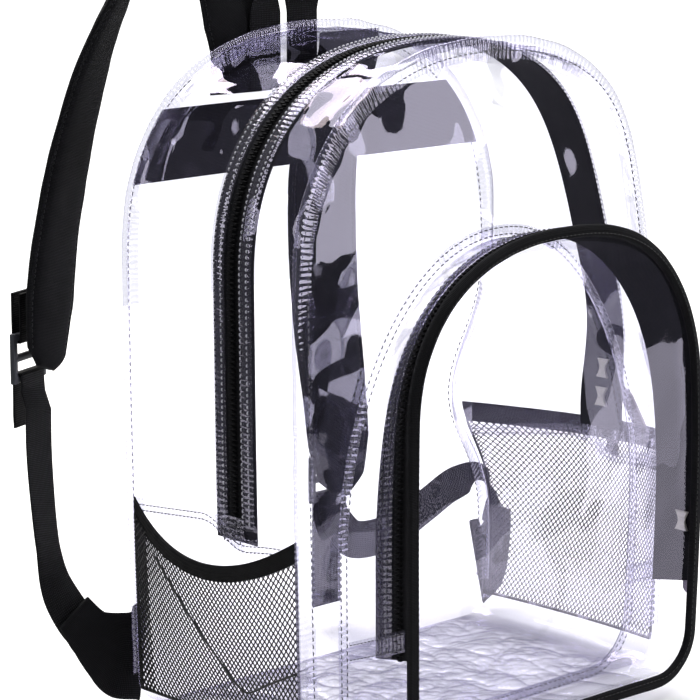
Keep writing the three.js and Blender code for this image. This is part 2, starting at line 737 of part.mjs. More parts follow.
// The webbing's run from the lock to its end on the corner tab. Along is a share of the straight
// way between them. Aside, behind and lift are how far it strays from that way, as shares of its bow.
const webbingTables = {
  left: [
    { along: 0.07, aside: -0.03, behind: -0.1, lift: 0, turn: 20, tip: 0 },
    { along: 0.22, aside: -0.44, behind: -0.22, lift: 0, turn: 20, tip: 2 },
    { along: 0.41, aside: -0.8, behind: -0.3, lift: 0, turn: 22, tip: 6 },
    { along: 0.6, aside: -0.97, behind: -0.23, lift: 0, turn: 24, tip: 14 },
    { along: 0.75, aside: -0.93, behind: -0.12, lift: 0, turn: 16, tip: 32 },
    { along: 0.89, aside: -0.59, behind: -0.14, lift: 0, turn: 0, tip: 42 },
    { along: 1, aside: 0, behind: 0, lift: 0, turn: 0, tip: 46 },
  ],
  right: [
    { along: 0.02, aside: 0, behind: 0, lift: -0.38, turn: 0, tip: 14 },
    { along: 0.14, aside: 0, behind: 0.08, lift: -0.93, turn: 0, tip: 58 },
    { along: 0.4, aside: 0.02, behind: 0.31, lift: -0.57, turn: 0, tip: 88 },
    { along: 0.65, aside: 0.03, behind: 0.58, lift: 0.38, turn: 0, tip: 102 },
    { along: 0.86, aside: 0, behind: 0.74, lift: 1.23, turn: 0, tip: 112 },
    { along: 0.95, aside: 0.42, behind: 0.62, lift: 1.44, turn: 20, tip: 138 },
    { along: 0.98, aside: 0.52, behind: 0.31, lift: 0.78, turn: 20, tip: 148 },
    { along: 1, aside: 0, behind: 0, lift: 0, turn: 0, tip: 134 },
  ],
};

// Where each webbing ends: across as a share of half the bag's width, height as a share of the
// corner tab's height, and behind as a share of how far the tab stands off
const webbingEnds = {
  left: { across: -1.2, behind: 0.1, height: 0.74 },
  right: { across: 1.12, behind: 0.6, height: 0.87 },
};

// Triangular tab from the bottom corner of the back seam to the end of the webbing, in the same shares
const tabTables = {
  left: [
    { across: -0.97, behind: 0, height: 0.55, tip: 90, width: 1 },
    { across: -1.07, behind: 0, height: 0.58, tip: 86, width: 0.9 },
    { across: -1.15, behind: 0.05, height: 0.69, tip: 70, width: 0.7 },
    { across: -1.23, behind: 0.19, height: 0.85, tip: 52, width: 0.5 },
    { across: -1.3, behind: 0.4, height: 1.08, tip: 42, width: 0.42 },
  ],
  right: [
    { across: 0.97, behind: 0, height: 0.55, tip: 90, width: 1 },
    { across: 1.05, behind: 0.05, height: 0.6, tip: 94, width: 0.88 },
    { across: 1.1, behind: 0.29, height: 0.73, tip: 112, width: 0.66 },
    { across: 1.14, behind: 0.6, height: 0.87, tip: 128, width: 0.5 },
    { across: 1.17, behind: 1, height: 1.06, tip: 138, width: 0.42 },
  ],
};

const lockClear = lockThickness / 2 + lockClearance + webbingThickness / 2;
const tabRear = halfDepth + seamGap * 2 + tabThickness / 2;

// A ladder lock stands behind the lower end of its strap, clear of the strap's rear face
function lockFrame(run) {
  const end = run[strapSteps];
  const seat = run[Math.round(strapSteps * lockSeat)];
  const wide = end.wide.clone().setZ(0).normalize();
  const up = new THREE.Vector3(0, 0, 1);
  const rear = new THREE.Vector3().crossVectors(up, wide);
  const clear = strapThickness / 2 + seamGap + webbingThickness / 2 + lockClear;
  const back = seat.centre.clone().sub(end.centre).dot(rear) + clear;
  const origin = end.centre.clone().addScaledVector(up, lockRise).addScaledVector(rear, back);
  return { wide, up, rear, origin };
}

function lockShape() {
  const half = lockWidth / 2;
  const slotHalf = half - lockBar;
  const slotHeight = (lockHeight - 3 * lockBar) / 2;
  const shape = new THREE.Shape();
  const chamfer = lockBar / 2;
  const top = lockHeight / 2;
  shape.moveTo(-half + chamfer, -top);
  shape.lineTo(half - chamfer, -top);
  shape.lineTo(half, -top + chamfer);
  shape.lineTo(half, top - chamfer);
  shape.lineTo(half - chamfer, top);
  shape.lineTo(-half + chamfer, top);
  shape.lineTo(-half, top - chamfer);
  shape.lineTo(-half, -top + chamfer);
  shape.closePath();
  for (const foot of [-top + lockBar, lockBar / 2]) {
    const slot = new THREE.Path();
    slot.moveTo(-slotHalf, foot);
    slot.lineTo(-slotHalf, foot + slotHeight);
    slot.lineTo(slotHalf, foot + slotHeight);
    slot.lineTo(slotHalf, foot);
    slot.closePath();
    shape.holes.push(slot);
  }
  return shape;
}

// A station of webbing beside a lock, at a height from its middle and a distance to its rear
function besideLock(frame, height, rear) {
  const centre = frame.origin.clone().addScaledVector(frame.up, height).addScaledVector(frame.rear, rear);
  return { centre, wide: frame.wide, width: webbingWidth, thickness: webbingThickness };
}

// Webbing passed round a bar of the lock, from its rear face to its front face, keeping the same
// distance from the bar all the way
function roundBar(frame, barHeight, direction) {
  const away = lockClearance + webbingThickness / 2;
  const quarter = Math.PI / 2;
  const corner = (side, from) => evenly(from, from + quarter, cornerTurns).map((angle) => besideLock(
    frame,
    barHeight + direction * (lockBar / 2 + away * Math.sin(angle)),
    side * lockThickness / 2 + away * Math.cos(angle),
  ));
  return [...corner(1, 0), ...corner(-1, quarter)];
}

function makeStrap(name) {
  const run = strapRun(name);
  addPiece(`shoulder_strap_${name}`, sweep(strapSections(run, paddedSection)), 'fabric');
  const frame = lockFrame(run);
  const barOffset = (lockHeight - lockBar) / 2;
  const place = new THREE.Matrix4().makeBasis(frame.wide, frame.up, frame.rear.clone().negate());
  place.setPosition(frame.origin.clone().addScaledVector(frame.rear, lockThickness / 2));
  addPiece(`ladder_lock_${name}`, plate(lockShape(), lockThickness, place), 'plastic');
  const loop = [
    besideLock(frame, barOffset + lockLoopReach, lockClear),
    ...roundBar(frame, barOffset, -1),
    besideLock(frame, barOffset + lockLoopReach, -lockClear),
  ];
  addPiece(`lock_loop_${name}`, sweep(strapSections(loop)), 'webbing');
  const exit = besideLock(frame, -barOffset - 2 * lockBar, -lockClear);
  const end = new THREE.Vector3(
    webbingEnds[name].across * halfWidth,
    tabRear + webbingEnds[name].behind * tabStandOff + lockClear,
    webbingEnds[name].height * tabHeight,
  );
  const webbingRun = webbingTables[name].map((row) => {
    const point = exit.centre.clone().lerp(end, row.along);
    return {
      x: point.x + row.aside * webbingBow,
      y: point.y + row.behind * webbingBow,
      z: point.z + row.lift * webbingBow,
      turn: row.turn,
      tip: row.tip,
      width: webbingWidth,
      thickness: webbingThickness,
    };
  });
  const webbing = [
    besideLock(frame, -barOffset - tailLengths[name], lockClear),
    besideLock(frame, -barOffset - tailLengths[name] / 2, lockClear),
    ...roundBar(frame, -barOffset, 1),
    besideLock(frame, -barOffset - lockBar, -lockClear),
    exit,
    ...throughStations(webbingRun, webbingSteps),
  ];
  addPiece(`webbing_${name}`, sweep(strapSections(webbing)), 'webbing');
}

function makeTab(name) {
  const placed = tabTables[name].map((row) => ({
    x: row.across * halfWidth,
    y: tabRear + row.behind * tabStandOff,
    z: row.height * tabHeight,
    turn: 0,
    tip: row.tip,
    width: row.width * tabHeight,
    thickness: tabThickness,
  }));
  addPiece(`corner_tab_${name}`, sweep(strapSections(throughStations(placed, tabSteps))), 'fabric');
}

// Haul loop: webbing sewn flat to the top seam at both ends and arched between them. Across is a
// share of the spread between its ends, and rise is a share of its height.
const loopTable = [
  { across: -0.5, rise: -0.68, turn: 0 },
  { across: -0.5, rise: 0.2, turn: 0 },
  { across: -0.49, rise: 0.5, turn: 22 },
  { across: -0.38, rise: 0.8, turn: 55 },
  { across: 0, rise: 1, turn: 90 },
  { across: 0.38, rise: 0.8, turn: 125 },
  { across: 0.49, rise: 0.5, turn: 158 },
  { across: 0.5, rise: 0.2, turn: 180 },
  { across: 0.5, rise: -0.68, turn: 180 },
];

function makeHaulLoop() {
  const placed = loopTable.map((row) => ({
    x: loopCentre + row.across * loopSpread,
    y: loopRear,
    z: bodyHeight + row.rise * loopHeight,
    turn: row.turn,
    tip: 0,
    width: webbingWidth,
    thickness: webbingThickness,
  }));
  addPiece('haul_loop', sweep(strapSections(throughStations(placed, loopSteps))), 'webbing');
}

makeBody();
makeBindings();
makeZipper();
makeYoke();
makePocket();
makePocketFace();
makeMeshPockets();
for (const name of ['left', 'right']) {
  makeStrap(name);
  makeTab(name);
}
makeHaulLoop();

// The origin is below the middle of everything, on the surface that the bag stands on
const reachBox = new THREE.Box3().setFromObject(bag);
const middle = reachBox.getCenter(new THREE.Vector3());
bag.position.set(-middle.x, -middle.y, -reachBox.min.z);

export default bag;
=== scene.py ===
import math

import bpy
import numpy as np
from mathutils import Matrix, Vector


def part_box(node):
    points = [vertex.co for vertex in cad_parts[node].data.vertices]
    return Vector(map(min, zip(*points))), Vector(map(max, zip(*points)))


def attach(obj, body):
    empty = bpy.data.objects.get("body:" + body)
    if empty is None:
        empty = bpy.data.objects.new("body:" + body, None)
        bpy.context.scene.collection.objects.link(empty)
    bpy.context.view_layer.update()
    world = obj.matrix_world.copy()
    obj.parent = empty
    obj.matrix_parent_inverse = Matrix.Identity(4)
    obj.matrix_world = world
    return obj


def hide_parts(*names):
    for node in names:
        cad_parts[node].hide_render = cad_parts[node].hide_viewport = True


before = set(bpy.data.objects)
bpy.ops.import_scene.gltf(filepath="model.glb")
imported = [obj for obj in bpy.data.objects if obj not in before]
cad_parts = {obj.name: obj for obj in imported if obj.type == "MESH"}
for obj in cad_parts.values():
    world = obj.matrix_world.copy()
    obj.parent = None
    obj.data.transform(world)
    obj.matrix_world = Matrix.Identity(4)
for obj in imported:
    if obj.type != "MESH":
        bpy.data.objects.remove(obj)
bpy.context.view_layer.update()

# Clear vinyl backpack. Lengths are millimetres from the middle of the body's footprint until a
# mesh is made. +Z is up, the straps are on the +Y side, and the zipped front pocket faces -Y.

# Body shell
BODY_WIDTH = 296
BODY_DEPTH = 150
BODY_HEIGHT = 399
ARCH_RISE = 127
ARCH_POWER = 2.3
BASE_CORNER = 18
SIDE_SEAM = 130
SHEET = 1.2
GAP = 0.3
BINDING_REACH = 4.5
BINDING_FOOT = 22

# How the soft body settles
SIDE_SWELL = 4
PANEL_SWELL = 6
TOP_LEAN = 9
SHOULDER_SLUMP = 22
SLUMP_HEIGHT = 310
SLUMP_SPREAD = 95
REAR_TUCK = 34
TUCK_HEIGHT = 155
TUCK_SPREAD = 48
SIDE_BULGE = 26
BULGE_HEIGHT = 165
BULGE_SPREAD = 110

# Main zipper
ZIP_FORWARD = 18
ZIP_OPENING = 17
ZIP_TAPE = 34
TAPE_THICKNESS = 1
COIL_WIDTH = 6
COIL_HEIGHT = 2
ZIP_FOOT = 122
ZIP_FOOT_RIGHT = 140
SLIDER_HEIGHTS = (178, 160)
PULL_SPLAY = (-20, 13)
PULL_LIFT = 21

# Yoke
YOKE_DROP = 41
YOKE_HEIGHT = 42
YOKE_THICKNESS = 1.4
YOKE_INSET = 2

# Front pocket
POCKET_FLOOR = 9
POCKET_CORNER = 30
POCKET_DEPTH = 55
POCKET_FLANGE = 7
POCKET_ZIP_FOOT = 60
POCKET_ZIP_OPENING = 14
POCKET_TAPE = 28
POCKET_BINDING = 6
POCKET_BINDING_DEPTH = 4.6
POCKET_FACE_SWELL = 11
POCKET_SLIDER_HEIGHT = 96
BINDING_LIP = 1

# Mesh side pockets
MESH_THICKNESS = 1.2
MESH_FOOT = 13
MESH_TOP = 132
MESH_BULGE = 10
MESH_INSET = 4
MESH_SLACK = 0.2
ELASTIC_HEIGHT = 12
ELASTIC_THICKNESS = 1.8

# Straps, webbing and hardware
STRAP_WIDTH = 54
STRAP_THICKNESS = 9
STRAP_ROOT_THICKNESS = 3
STRAP_ROOT_DROP = 9
STRAP_BOW = 44
STRAP_DROPS = {"left": 184, "right": 296}
WEBBING_WIDTH = 25
WEBBING_THICKNESS = 1.4
WEBBING_BOW = 20
LOCK_WIDTH = 35
LOCK_HEIGHT = 30
LOCK_THICKNESS = 3.4
LOCK_BAR = 4.5
LOCK_CLEARANCE = 0.45
LOCK_LOOP_REACH = 26
LOCK_RISE = 7
LOCK_SEAT = 0.7857
TAIL_LENGTHS = {"left": 30, "right": 74}
TAB_THICKNESS = 2.2
TAB_HEIGHT = 62
TAB_STAND_OFF = 8.4
LOOP_HEIGHT = 52
LOOP_SPREAD = 30
LOOP_CENTRE = -20

# The table that the bag stands on, in metres
TABLE_FRONT = 0.4
TABLE_BACK = 1.1

# The camera, in degrees, millimetres from the middle of the body's footprint, and pixels
CAMERA_AZIMUTH = -43.2
CAMERA_ELEVATION = 11.5
CAMERA_DISTANCE = 1750
CAMERA_TARGET = (-44.5, 0, 216)
FOCAL_PIXELS = 2950
PHOTO_PIXELS = 700
SENSOR_WIDTH = 36

HALF_WIDTH = BODY_WIDTH / 2
HALF_DEPTH = BODY_DEPTH / 2
ZIP_REAR = -ZIP_FORWARD + ZIP_OPENING / 2
ZIP_FRONT = -ZIP_FORWARD - ZIP_OPENING / 2
MESH_REACH = HALF_DEPTH - MESH_INSET


def settle(points):
    """Moves points of the flat-sided pattern to where the soft bag has settled."""
    x, y, z = np.moveaxis(np.asarray(points, float), -1, 0)
    up = np.clip(z / BODY_HEIGHT, 0, 1)
    across = np.clip(x / HALF_WIDTH, -1.1, 1.1)
    deep = np.clip(y / HALF_DEPTH, -1, 1)
    belly = np.sin(np.pi * up)
    right = np.where(across > 0, across**2, 0)
    slump = SHOULDER_SLUMP * np.exp(-(((z - SLUMP_HEIGHT) / SLUMP_SPREAD) ** 2)) * (1 - deep) / 2
    tuck = REAR_TUCK * np.exp(-(((z - TUCK_HEIGHT) / TUCK_SPREAD) ** 2)) * (1 + deep) / 2
    bulge = SIDE_BULGE * np.exp(-(((z - BULGE_HEIGHT) / BULGE_SPREAD) ** 2)) * (1 - deep**2)
    middle = np.maximum(0, 1 - across**2)
    moved_x = x + across * SIDE_SWELL * belly + right * (bulge - slump - tuck)
    moved_y = y + deep * PANEL_SWELL * middle * belly + TOP_LEAN * up**4
    return np.stack([moved_x, moved_y, z], -1)


root_top = settle([0, HALF_DEPTH, BODY_HEIGHT])
LOOP_REAR = root_top[1] + GAP + WEBBING_THICKNESS / 2
STRAP_REAR = LOOP_REAR + WEBBING_THICKNESS / 2 + GAP + STRAP_ROOT_THICKNESS / 2
ROOT_FOOT = root_top[2] - STRAP_ROOT_DROP

# The haul loop stands straight over the body, so its box shows where the body's middle is
low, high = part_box("haul_loop")
loop_middle = (low + high) * 500
BODY_CENTRE = np.array([loop_middle.x - LOOP_CENTRE, loop_middle.y - LOOP_REAR, 0])


class Outline:
    """A closed arch shape, walked from its bottom middle up the left side and over to the right."""

    def __init__(self, width, top, rise, power, corner, floor):
        self.half, self.top, self.rise = width / 2, top, rise
        self.power, self.corner, self.floor = power, corner, floor
        turn = np.linspace(0, np.pi / 2, 24)
        foot_x = -(self.half - corner) - corner * np.sin(turn)
        foot_z = floor + corner * (1 - np.cos(turn))
        cosine = np.cos(np.linspace(0, np.pi, 400))
        arch_x = -self.half * np.sign(cosine) * np.abs(cosine) ** (2 / power)
        arch_z = self.arch(arch_x)
        x = np.concatenate([[0], foot_x, arch_x, -foot_x[::-1], [0]])
        z = np.concatenate([[floor], foot_z, arch_z, foot_z[::-1], [floor]])
        steps = np.hypot(np.diff(x), np.diff(z))
        self.x, self.z, self.s = x, z, np.concatenate([[0], np.cumsum(steps)])
        self.length = self.s[-1]

    def arch(self, x):
        share = np.minimum(1, np.abs(x) / self.half)
        return self.top - self.rise + self.rise * (1 - share**self.power) ** (1 / self.power)

    def foot(self, x):
        past = np.clip(np.abs(x) - (self.half - self.corner), 0, self.corner)
        return self.floor + self.corner - np.sqrt(self.corner**2 - past**2)

    def at(self, s):
        wrapped = np.mod(s, self.length)
        return np.interp(wrapped, self.s, self.x), np.interp(wrapped, self.s, self.z)

    def left(self, height):
        return self.half - self.corner + math.pi / 2 * self.corner + height - self.floor - self.corner


BODY = Outline(BODY_WIDTH, BODY_HEIGHT, ARCH_RISE, ARCH_POWER, BASE_CORNER, 0)
POCKET_BASE = Outline(
    width=234, top=288, rise=178, power=2.1, corner=POCKET_CORNER, floor=POCKET_FLOOR
)
POCKET_FACE = Outline(
    width=240, top=300, rise=100, power=2.35, corner=POCKET_CORNER, floor=POCKET_FLOOR
)
SEAM = BODY.left(SIDE_SEAM)
POCKET_START = -HALF_DEPTH - GAP - SHEET
POCKET_WALL_END = POCKET_DEPTH - POCKET_BINDING_DEPTH
POCKET_GUSSET_END = POCKET_WALL_END - POCKET_ZIP_OPENING
POCKET_TAPE_START = POCKET_WALL_END - GAP - POCKET_TAPE
POCKET_TURN = POCKET_BASE.left(POCKET_ZIP_FOOT)


def body_side(s, y):
    """A place on the body's side wall, by the distance round it and the depth."""
    x, z = BODY.at(s)
    return settle(np.stack(np.broadcast_arrays(x, y, z), -1))


def up_side(height, right):
    """The distance round the body to a height on its left or right side."""
    left = BODY.left(height)
    return BODY.length - left if right else left


def pocket_side(s, reach):
    """A place on the front pocket's side wall. A negative reach lies on its sewn flange."""
    s, reach = np.broadcast_arrays(np.asarray(s, float), np.asarray(reach, float))
    x, z = POCKET_BASE.at(-s)
    ahead_x, ahead_z = POCKET_BASE.at(0.5 - s)
    behind_x, behind_z = POCKET_BASE.at(-0.5 - s)
    along = np.hypot(ahead_x - behind_x, ahead_z - behind_z)
    flange = np.maximum(0, -reach)
    flange_x = x - (ahead_z - behind_z) / along * flange
    flange_z = z + (ahead_x - behind_x) / along * flange
    face_x, face_z = POCKET_FACE.at(-s * POCKET_FACE.length / POCKET_BASE.length)
    share = np.clip(reach / POCKET_DEPTH, 0, 1)
    wall_x = x + (face_x - x) * share
    wall_z = z + (face_z - z) * share
    on_flange = reach < 0
    point_x = np.where(on_flange, flange_x, wall_x)
    point_z = np.where(on_flange, flange_z, wall_z)
    return settle(np.stack([point_x, POCKET_START - np.maximum(0, reach), point_z], -1))


def unit(vectors):
    return vectors / np.maximum(1e-9, np.linalg.norm(vectors, axis=-1, keepdims=True))


def facing(surface, s, t):
    """The direction straight out of a wall at each of its places."""
    along = surface(s + 0.5, t) - surface(s - 0.5, t)
    across = surface(s, t + 0.5) - surface(s, t - 0.5)
    return unit(np.cross(along, across))


def laid(surface, s, t, lift=0.0):
    """Places on a wall, each lifted straight out by a distance."""
    s, t = np.meshgrid(s, t, indexing="ij")
    lift = np.broadcast_to(np.asarray(lift, float), s.shape)
    return surface(s, t) + facing(surface, s, t) * lift[..., None]


def waves(points, wavelength, seed, count=7):
    """Smooth irregular waves between about -1 and 1, the same on every run."""
    rng = np.random.default_rng(seed)
    total = np.zeros(points.shape[:-1])
    for _ in range(count):
        way = unit(rng.normal(size=3)) * 2 * np.pi / (wavelength * rng.uniform(0.7, 1.5))
        total += np.sin(points @ way + rng.uniform(0, 2 * np.pi))
    return total / count * 1.8


def creases(points, wavelength, seed):
    """Sharp ridges with soft valleys, as stiff sheet makes where it buckles."""
    return 1 - 2 * np.sqrt(np.abs(waves(points, wavelength, seed)))


def near_edge(distance, width):
    """1 at an edge, falling smoothly to 0 at a width away from it."""
    share = np.clip(1 - np.asarray(distance, float) / width, 0, 1)
    return share * share * (3 - 2 * share)


# Meshes


def to_mesh(name, points, faces, material, uv=None, sharp=None, stands_for=(), slot=None):
    """Makes a piece from points in millimetres, and puts it in the bag."""
    mesh = bpy.data.meshes.new(name)
    flat = (np.asarray(points, float).reshape(-1, 3) + BODY_CENTRE) / 1000
    mesh.from_pydata(flat.tolist(), [], [tuple(int(i) for i in face) for face in faces])
    mesh.validate()
    mesh.shade_smooth()
    if uv is not None:
        layer = mesh.uv_layers.new(name="along_across").data
        pairs = np.asarray(uv, float).reshape(-1, 2)
        corners = np.empty(len(mesh.loops), dtype=np.int32)
        mesh.loops.foreach_get("vertex_index", corners)
        layer.foreach_set("uv", pairs[corners].ravel())
    if sharp:
        mesh.set_sharp_from_angle(angle=math.radians(sharp))
    mesh.materials.append(material)
    piece = bpy.data.objects.new(name, mesh)
    bpy.context.scene.collection.objects.link(piece)
    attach(piece, "root")
    if stands_for:
        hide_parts(*stands_for)
    return piece


def grid_faces(rows, columns, closed=False):
    """Quads over a grid of points, joined round in its first direction where it is closed."""
    i = np.arange(rows if closed else rows - 1)[:, None]
    j = np.arange(columns - 1)[None, :]
    here = i * columns + j
    after = (i + 1) % rows * columns + j
    return np.stack([here, after, after + 1, here + 1], -1).reshape(-1, 4)


def measured_uv(grid):
    """Millimetres along and across a grid of points."""
    along = np.linalg.norm(np.diff(grid, axis=0), axis=-1).mean(axis=1)
    across = np.linalg.norm(np.diff(grid, axis=1), axis=-1).mean(axis=0)
    u = np.concatenate([[0], np.cumsum(along)])
    v = np.concatenate([[0], np.cumsum(across)])
    return np.stack(np.meshgrid(u, v, indexing="ij"), -1)


def make_sheet(name, grid, material, **more):
    """A single sheet over a grid of points."""
    rows, columns = grid.shape[:2]
    return to_mesh(name, grid, grid_faces(rows, columns), material, uv=measured_uv(grid), **more)


def make_wall(name, outer, inner, material, **more):
    """A sheet with thickness, closed round its edges."""
    rows, columns = outer.shape[:2]
    ring = np.concatenate([outer, inner[:, ::-1], outer[:, :1]], axis=1)
    faces = [*grid_faces(rows, 2 * columns + 1)]
    wide = 2 * columns + 1
    for row in (0, rows - 1):
        for j in range(columns - 1):
            a, b = row * wide + j, row * wide + j + 1
            c, d = row * wide + 2 * columns - 2 - j, row * wide + 2 * columns - 1 - j
            faces.append((a, b, c, d) if row == 0 else (a, d, c, b))
    return to_mesh(name, ring, faces, material, uv=measured_uv(ring), sharp=50, **more)


def make_sweep(name, sections, material, ring=False, sharp=None, **more):
    """A bar through closed sections, capped unless it is a ring."""
    count, size = sections.shape[:2]
    grid = np.concatenate([sections, sections[:, :1]], axis=1)
    faces = [*grid_faces(count, size + 1, closed=ring)]
    if not ring:
        faces.append(tuple(range(size)))
        last = (count - 1) * (size + 1)
        faces.append(tuple(last + size - 1 - j for j in range(size)))
    return to_mesh(name, grid, faces, material, uv=measured_uv(grid), sharp=sharp, **more)


def frames_along(path, wide):
    """Along, wide and thick directions at each point of a path."""
    along = unit(np.gradient(path, axis=0))
    square = unit(wide - along * np.sum(wide * along, axis=1, keepdims=True))
    return along, square, np.cross(along, square)


def swept(path, wide, widths, thicknesses, profile):
    """Sections of a strap whose profile is given in shares of half its width and thickness."""
    _, square, thick = frames_along(path, wide)
    u, v = np.asarray(profile, float).T
    return (
        path[:, None]
        + square[:, None] * (u[None] * widths[:, None] / 2)[..., None]
        + thick[:, None] * (v[None] * thicknesses[:, None] / 2)[..., None]
    )


def round_cord(path, radius, sides=8):
    """Sections of a round cord along a path."""
    guess = np.tile([0.3, 0.5, 0.8], (len(path), 1))
    turn = np.linspace(0, 2 * np.pi, sides, endpoint=False)
    profile = np.stack([np.cos(turn), np.sin(turn)], -1)
    size = np.full(len(path), 2.0 * radius)
    return swept(path, guess, size, size, profile)


# Distance between stitches, and the wave texture's length of one wave at a scale of 1
STITCH_PITCH = 3.4
WAVE_TURN = 0.314
STITCH_TURNS = np.linspace(0, 2 * np.pi, 5, endpoint=False)
SEAM_STITCH = {"pitch": 4.2, "length": 2.7, "radius": 0.4}


def stitch_row(path, out, pitch=STITCH_PITCH, length=2.5, radius=0.32):
    """Thread stitches along a path, as separate grains that dip into the cloth at both ends."""
    steps = np.linalg.norm(np.diff(path, axis=0), axis=1)
    s = np.concatenate([[0], np.cumsum(steps)])
    starts = np.arange(pitch / 2, s[-1] - length, pitch)
    shares = np.array([0, 0.18, 0.5, 0.82, 1])
    rise = np.array([-0.6, 0.7, 1, 0.7, -0.6]) * radius
    fat = np.array([0.35, 0.95, 1, 0.95, 0.35]) * radius
    at = starts[:, None] + shares[None] * length
    place = np.stack([np.interp(at, s, path[:, k]) for k in range(3)], -1)
    up = unit(np.stack([np.interp(at, s, out[:, k]) for k in range(3)], -1))
    along = unit(np.gradient(place, axis=1))
    side = np.cross(along, up)
    place = place + up * rise[None, :, None]
    ring = (
        place[:, :, None]
        + side[:, :, None] * (np.cos(STITCH_TURNS)[None, None] * fat[None, :, None])[..., None]
        + up[:, :, None] * (np.sin(STITCH_TURNS)[None, None] * fat[None, :, None])[..., None]
    )
    return ring


def make_stitches(name, rows, material, **more):
    """Joins rows of stitches in one piece."""
    rings = np.concatenate([row for row in rows if len(row)])
    count, places, turns = rings.shape[:3]
    j = np.arange(places - 1)[:, None]
    k = np.arange(turns)[None, :]
    after = (k + 1) % turns
    one = np.stack([j * turns + k, j * turns + after, (j + 1) * turns + after, (j + 1) * turns + k], -1)
    one = one.reshape(-1, 4)
    faces = (one[None] + (np.arange(count) * places * turns)[:, None, None]).reshape(-1, 4)
    return to_mesh(name, rings, faces, material, **more)


def wall_stitches(surface, s, t, lift, **more):
    """A row of stitches laid on a wall along one of its lines."""
    s, t = np.broadcast_arrays(np.asarray(s, float), np.asarray(t, float))
    out = facing(surface, s, t)
    return stitch_row(surface(s, t) + out * lift, out, **more)


# Materials


def linear(hex_colour):
    """An sRGB hex colour as the linear values that shaders take."""
    parts = [int(hex_colour[i : i + 2], 16) / 255 for i in (1, 3, 5)]
    parts = [v / 12.92 if v <= 0.04045 else ((v + 0.055) / 1.055) ** 2.4 for v in parts]
    return (*parts, 1.0)


def add(tree, kind, inputs=None, **settings):
    """Adds a node with its settings, and gives each named input a value or a link."""
    made = tree.nodes.new("ShaderNode" + kind)
    for name, value in settings.items():
        setattr(made, name, value)
    for name, value in (inputs or {}).items():
        socket = made.inputs[name]
        if isinstance(value, bpy.types.NodeSocket):
            tree.links.new(value, socket)
        else:
            socket.default_value = value
    return made


def new_material(name):
    material = bpy.data.materials.new(name)
    material.use_nodes = True
    tree = material.node_tree
    tree.nodes.clear()
    return material, tree


def finish_with(tree, shader):
    tree.links.new(shader.outputs[0], add(tree, "OutputMaterial").inputs["Surface"])


def calendered_vinyl(name, tints, sheen, ripple, haze=0.0, pucker=0.0):
    """Plasticised PVC sheet, rolled between polished rollers.

    Both faces mirror the studio like still water, stronger at a slant, and shallow ripples left
    from the roll break the mirrored lights into patches with sharp edges. Light crosses more of
    the sheet at a slant, so folds show greyer. Stitched folds are hazy, and drawn up between
    their stitches, which breaks their glints into dashes.
    """
    material, tree = new_material(name)
    coords = add(tree, "TexCoord")
    wide = add(tree, "TexNoise", {"Vector": coords.outputs["Object"], "Scale": 13.0, "Detail": 1.0})
    fine = add(tree, "TexNoise", {"Vector": coords.outputs["Object"], "Scale": 48.0, "Detail": 0.5})
    height = add(tree, "Math", {0: fine.outputs[0], 1: 0.12, 2: wide.outputs[0]}, operation="MULTIPLY_ADD")
    if pucker:
        scale = WAVE_TURN / STITCH_PITCH
        inputs = {"Vector": coords.outputs["UV"], "Scale": scale, "Distortion": 3.0, "Detail": 1.0}
        drawn = add(tree, "TexWave", inputs, wave_type="BANDS", bands_direction="X")
        inputs = {0: drawn.outputs["Fac"], 1: pucker, 2: height.outputs[0]}
        height = add(tree, "Math", inputs, operation="MULTIPLY_ADD")
    bump = add(tree, "Bump", {"Height": height.outputs[0], "Strength": ripple, "Distance": 0.006})
    slant = add(tree, "LayerWeight", {"Blend": 0.5, "Normal": bump.outputs[0]})
    fifth = add(tree, "Math", {0: slant.outputs["Facing"], 1: 5.0}, operation="POWER")
    mirror = add(tree, "Math", {0: fifth.outputs[0], 1: 1 - sheen, 2: sheen}, operation="MULTIPLY_ADD")
    depth = add(tree, "ValToRGB", {"Fac": slant.outputs["Facing"]})
    for stop, place, tint in zip(depth.color_ramp.elements, (0.55, 0.98), tints):
        stop.position = place
        stop.color = linear(tint)
    clear = add(tree, "BsdfTransparent", {"Color": depth.outputs[0]})
    inputs = {"Color": linear("#e4dff6"), "Roughness": 0.035, "Normal": bump.outputs[0]}
    gloss = add(tree, "BsdfGlossy", inputs)
    mixed = add(tree, "MixShader", {"Fac": mirror.outputs[0], 1: clear.outputs[0], 2: gloss.outputs[0]})
    if haze:
        milk = add(tree, "BsdfDiffuse", {"Color": linear("#f2f1f7"), "Normal": bump.outputs[0]})
        mixed = add(tree, "MixShader", {"Fac": haze, 1: mixed.outputs[0], 2: milk.outputs[0]})
    finish_with(tree, mixed)
    return material


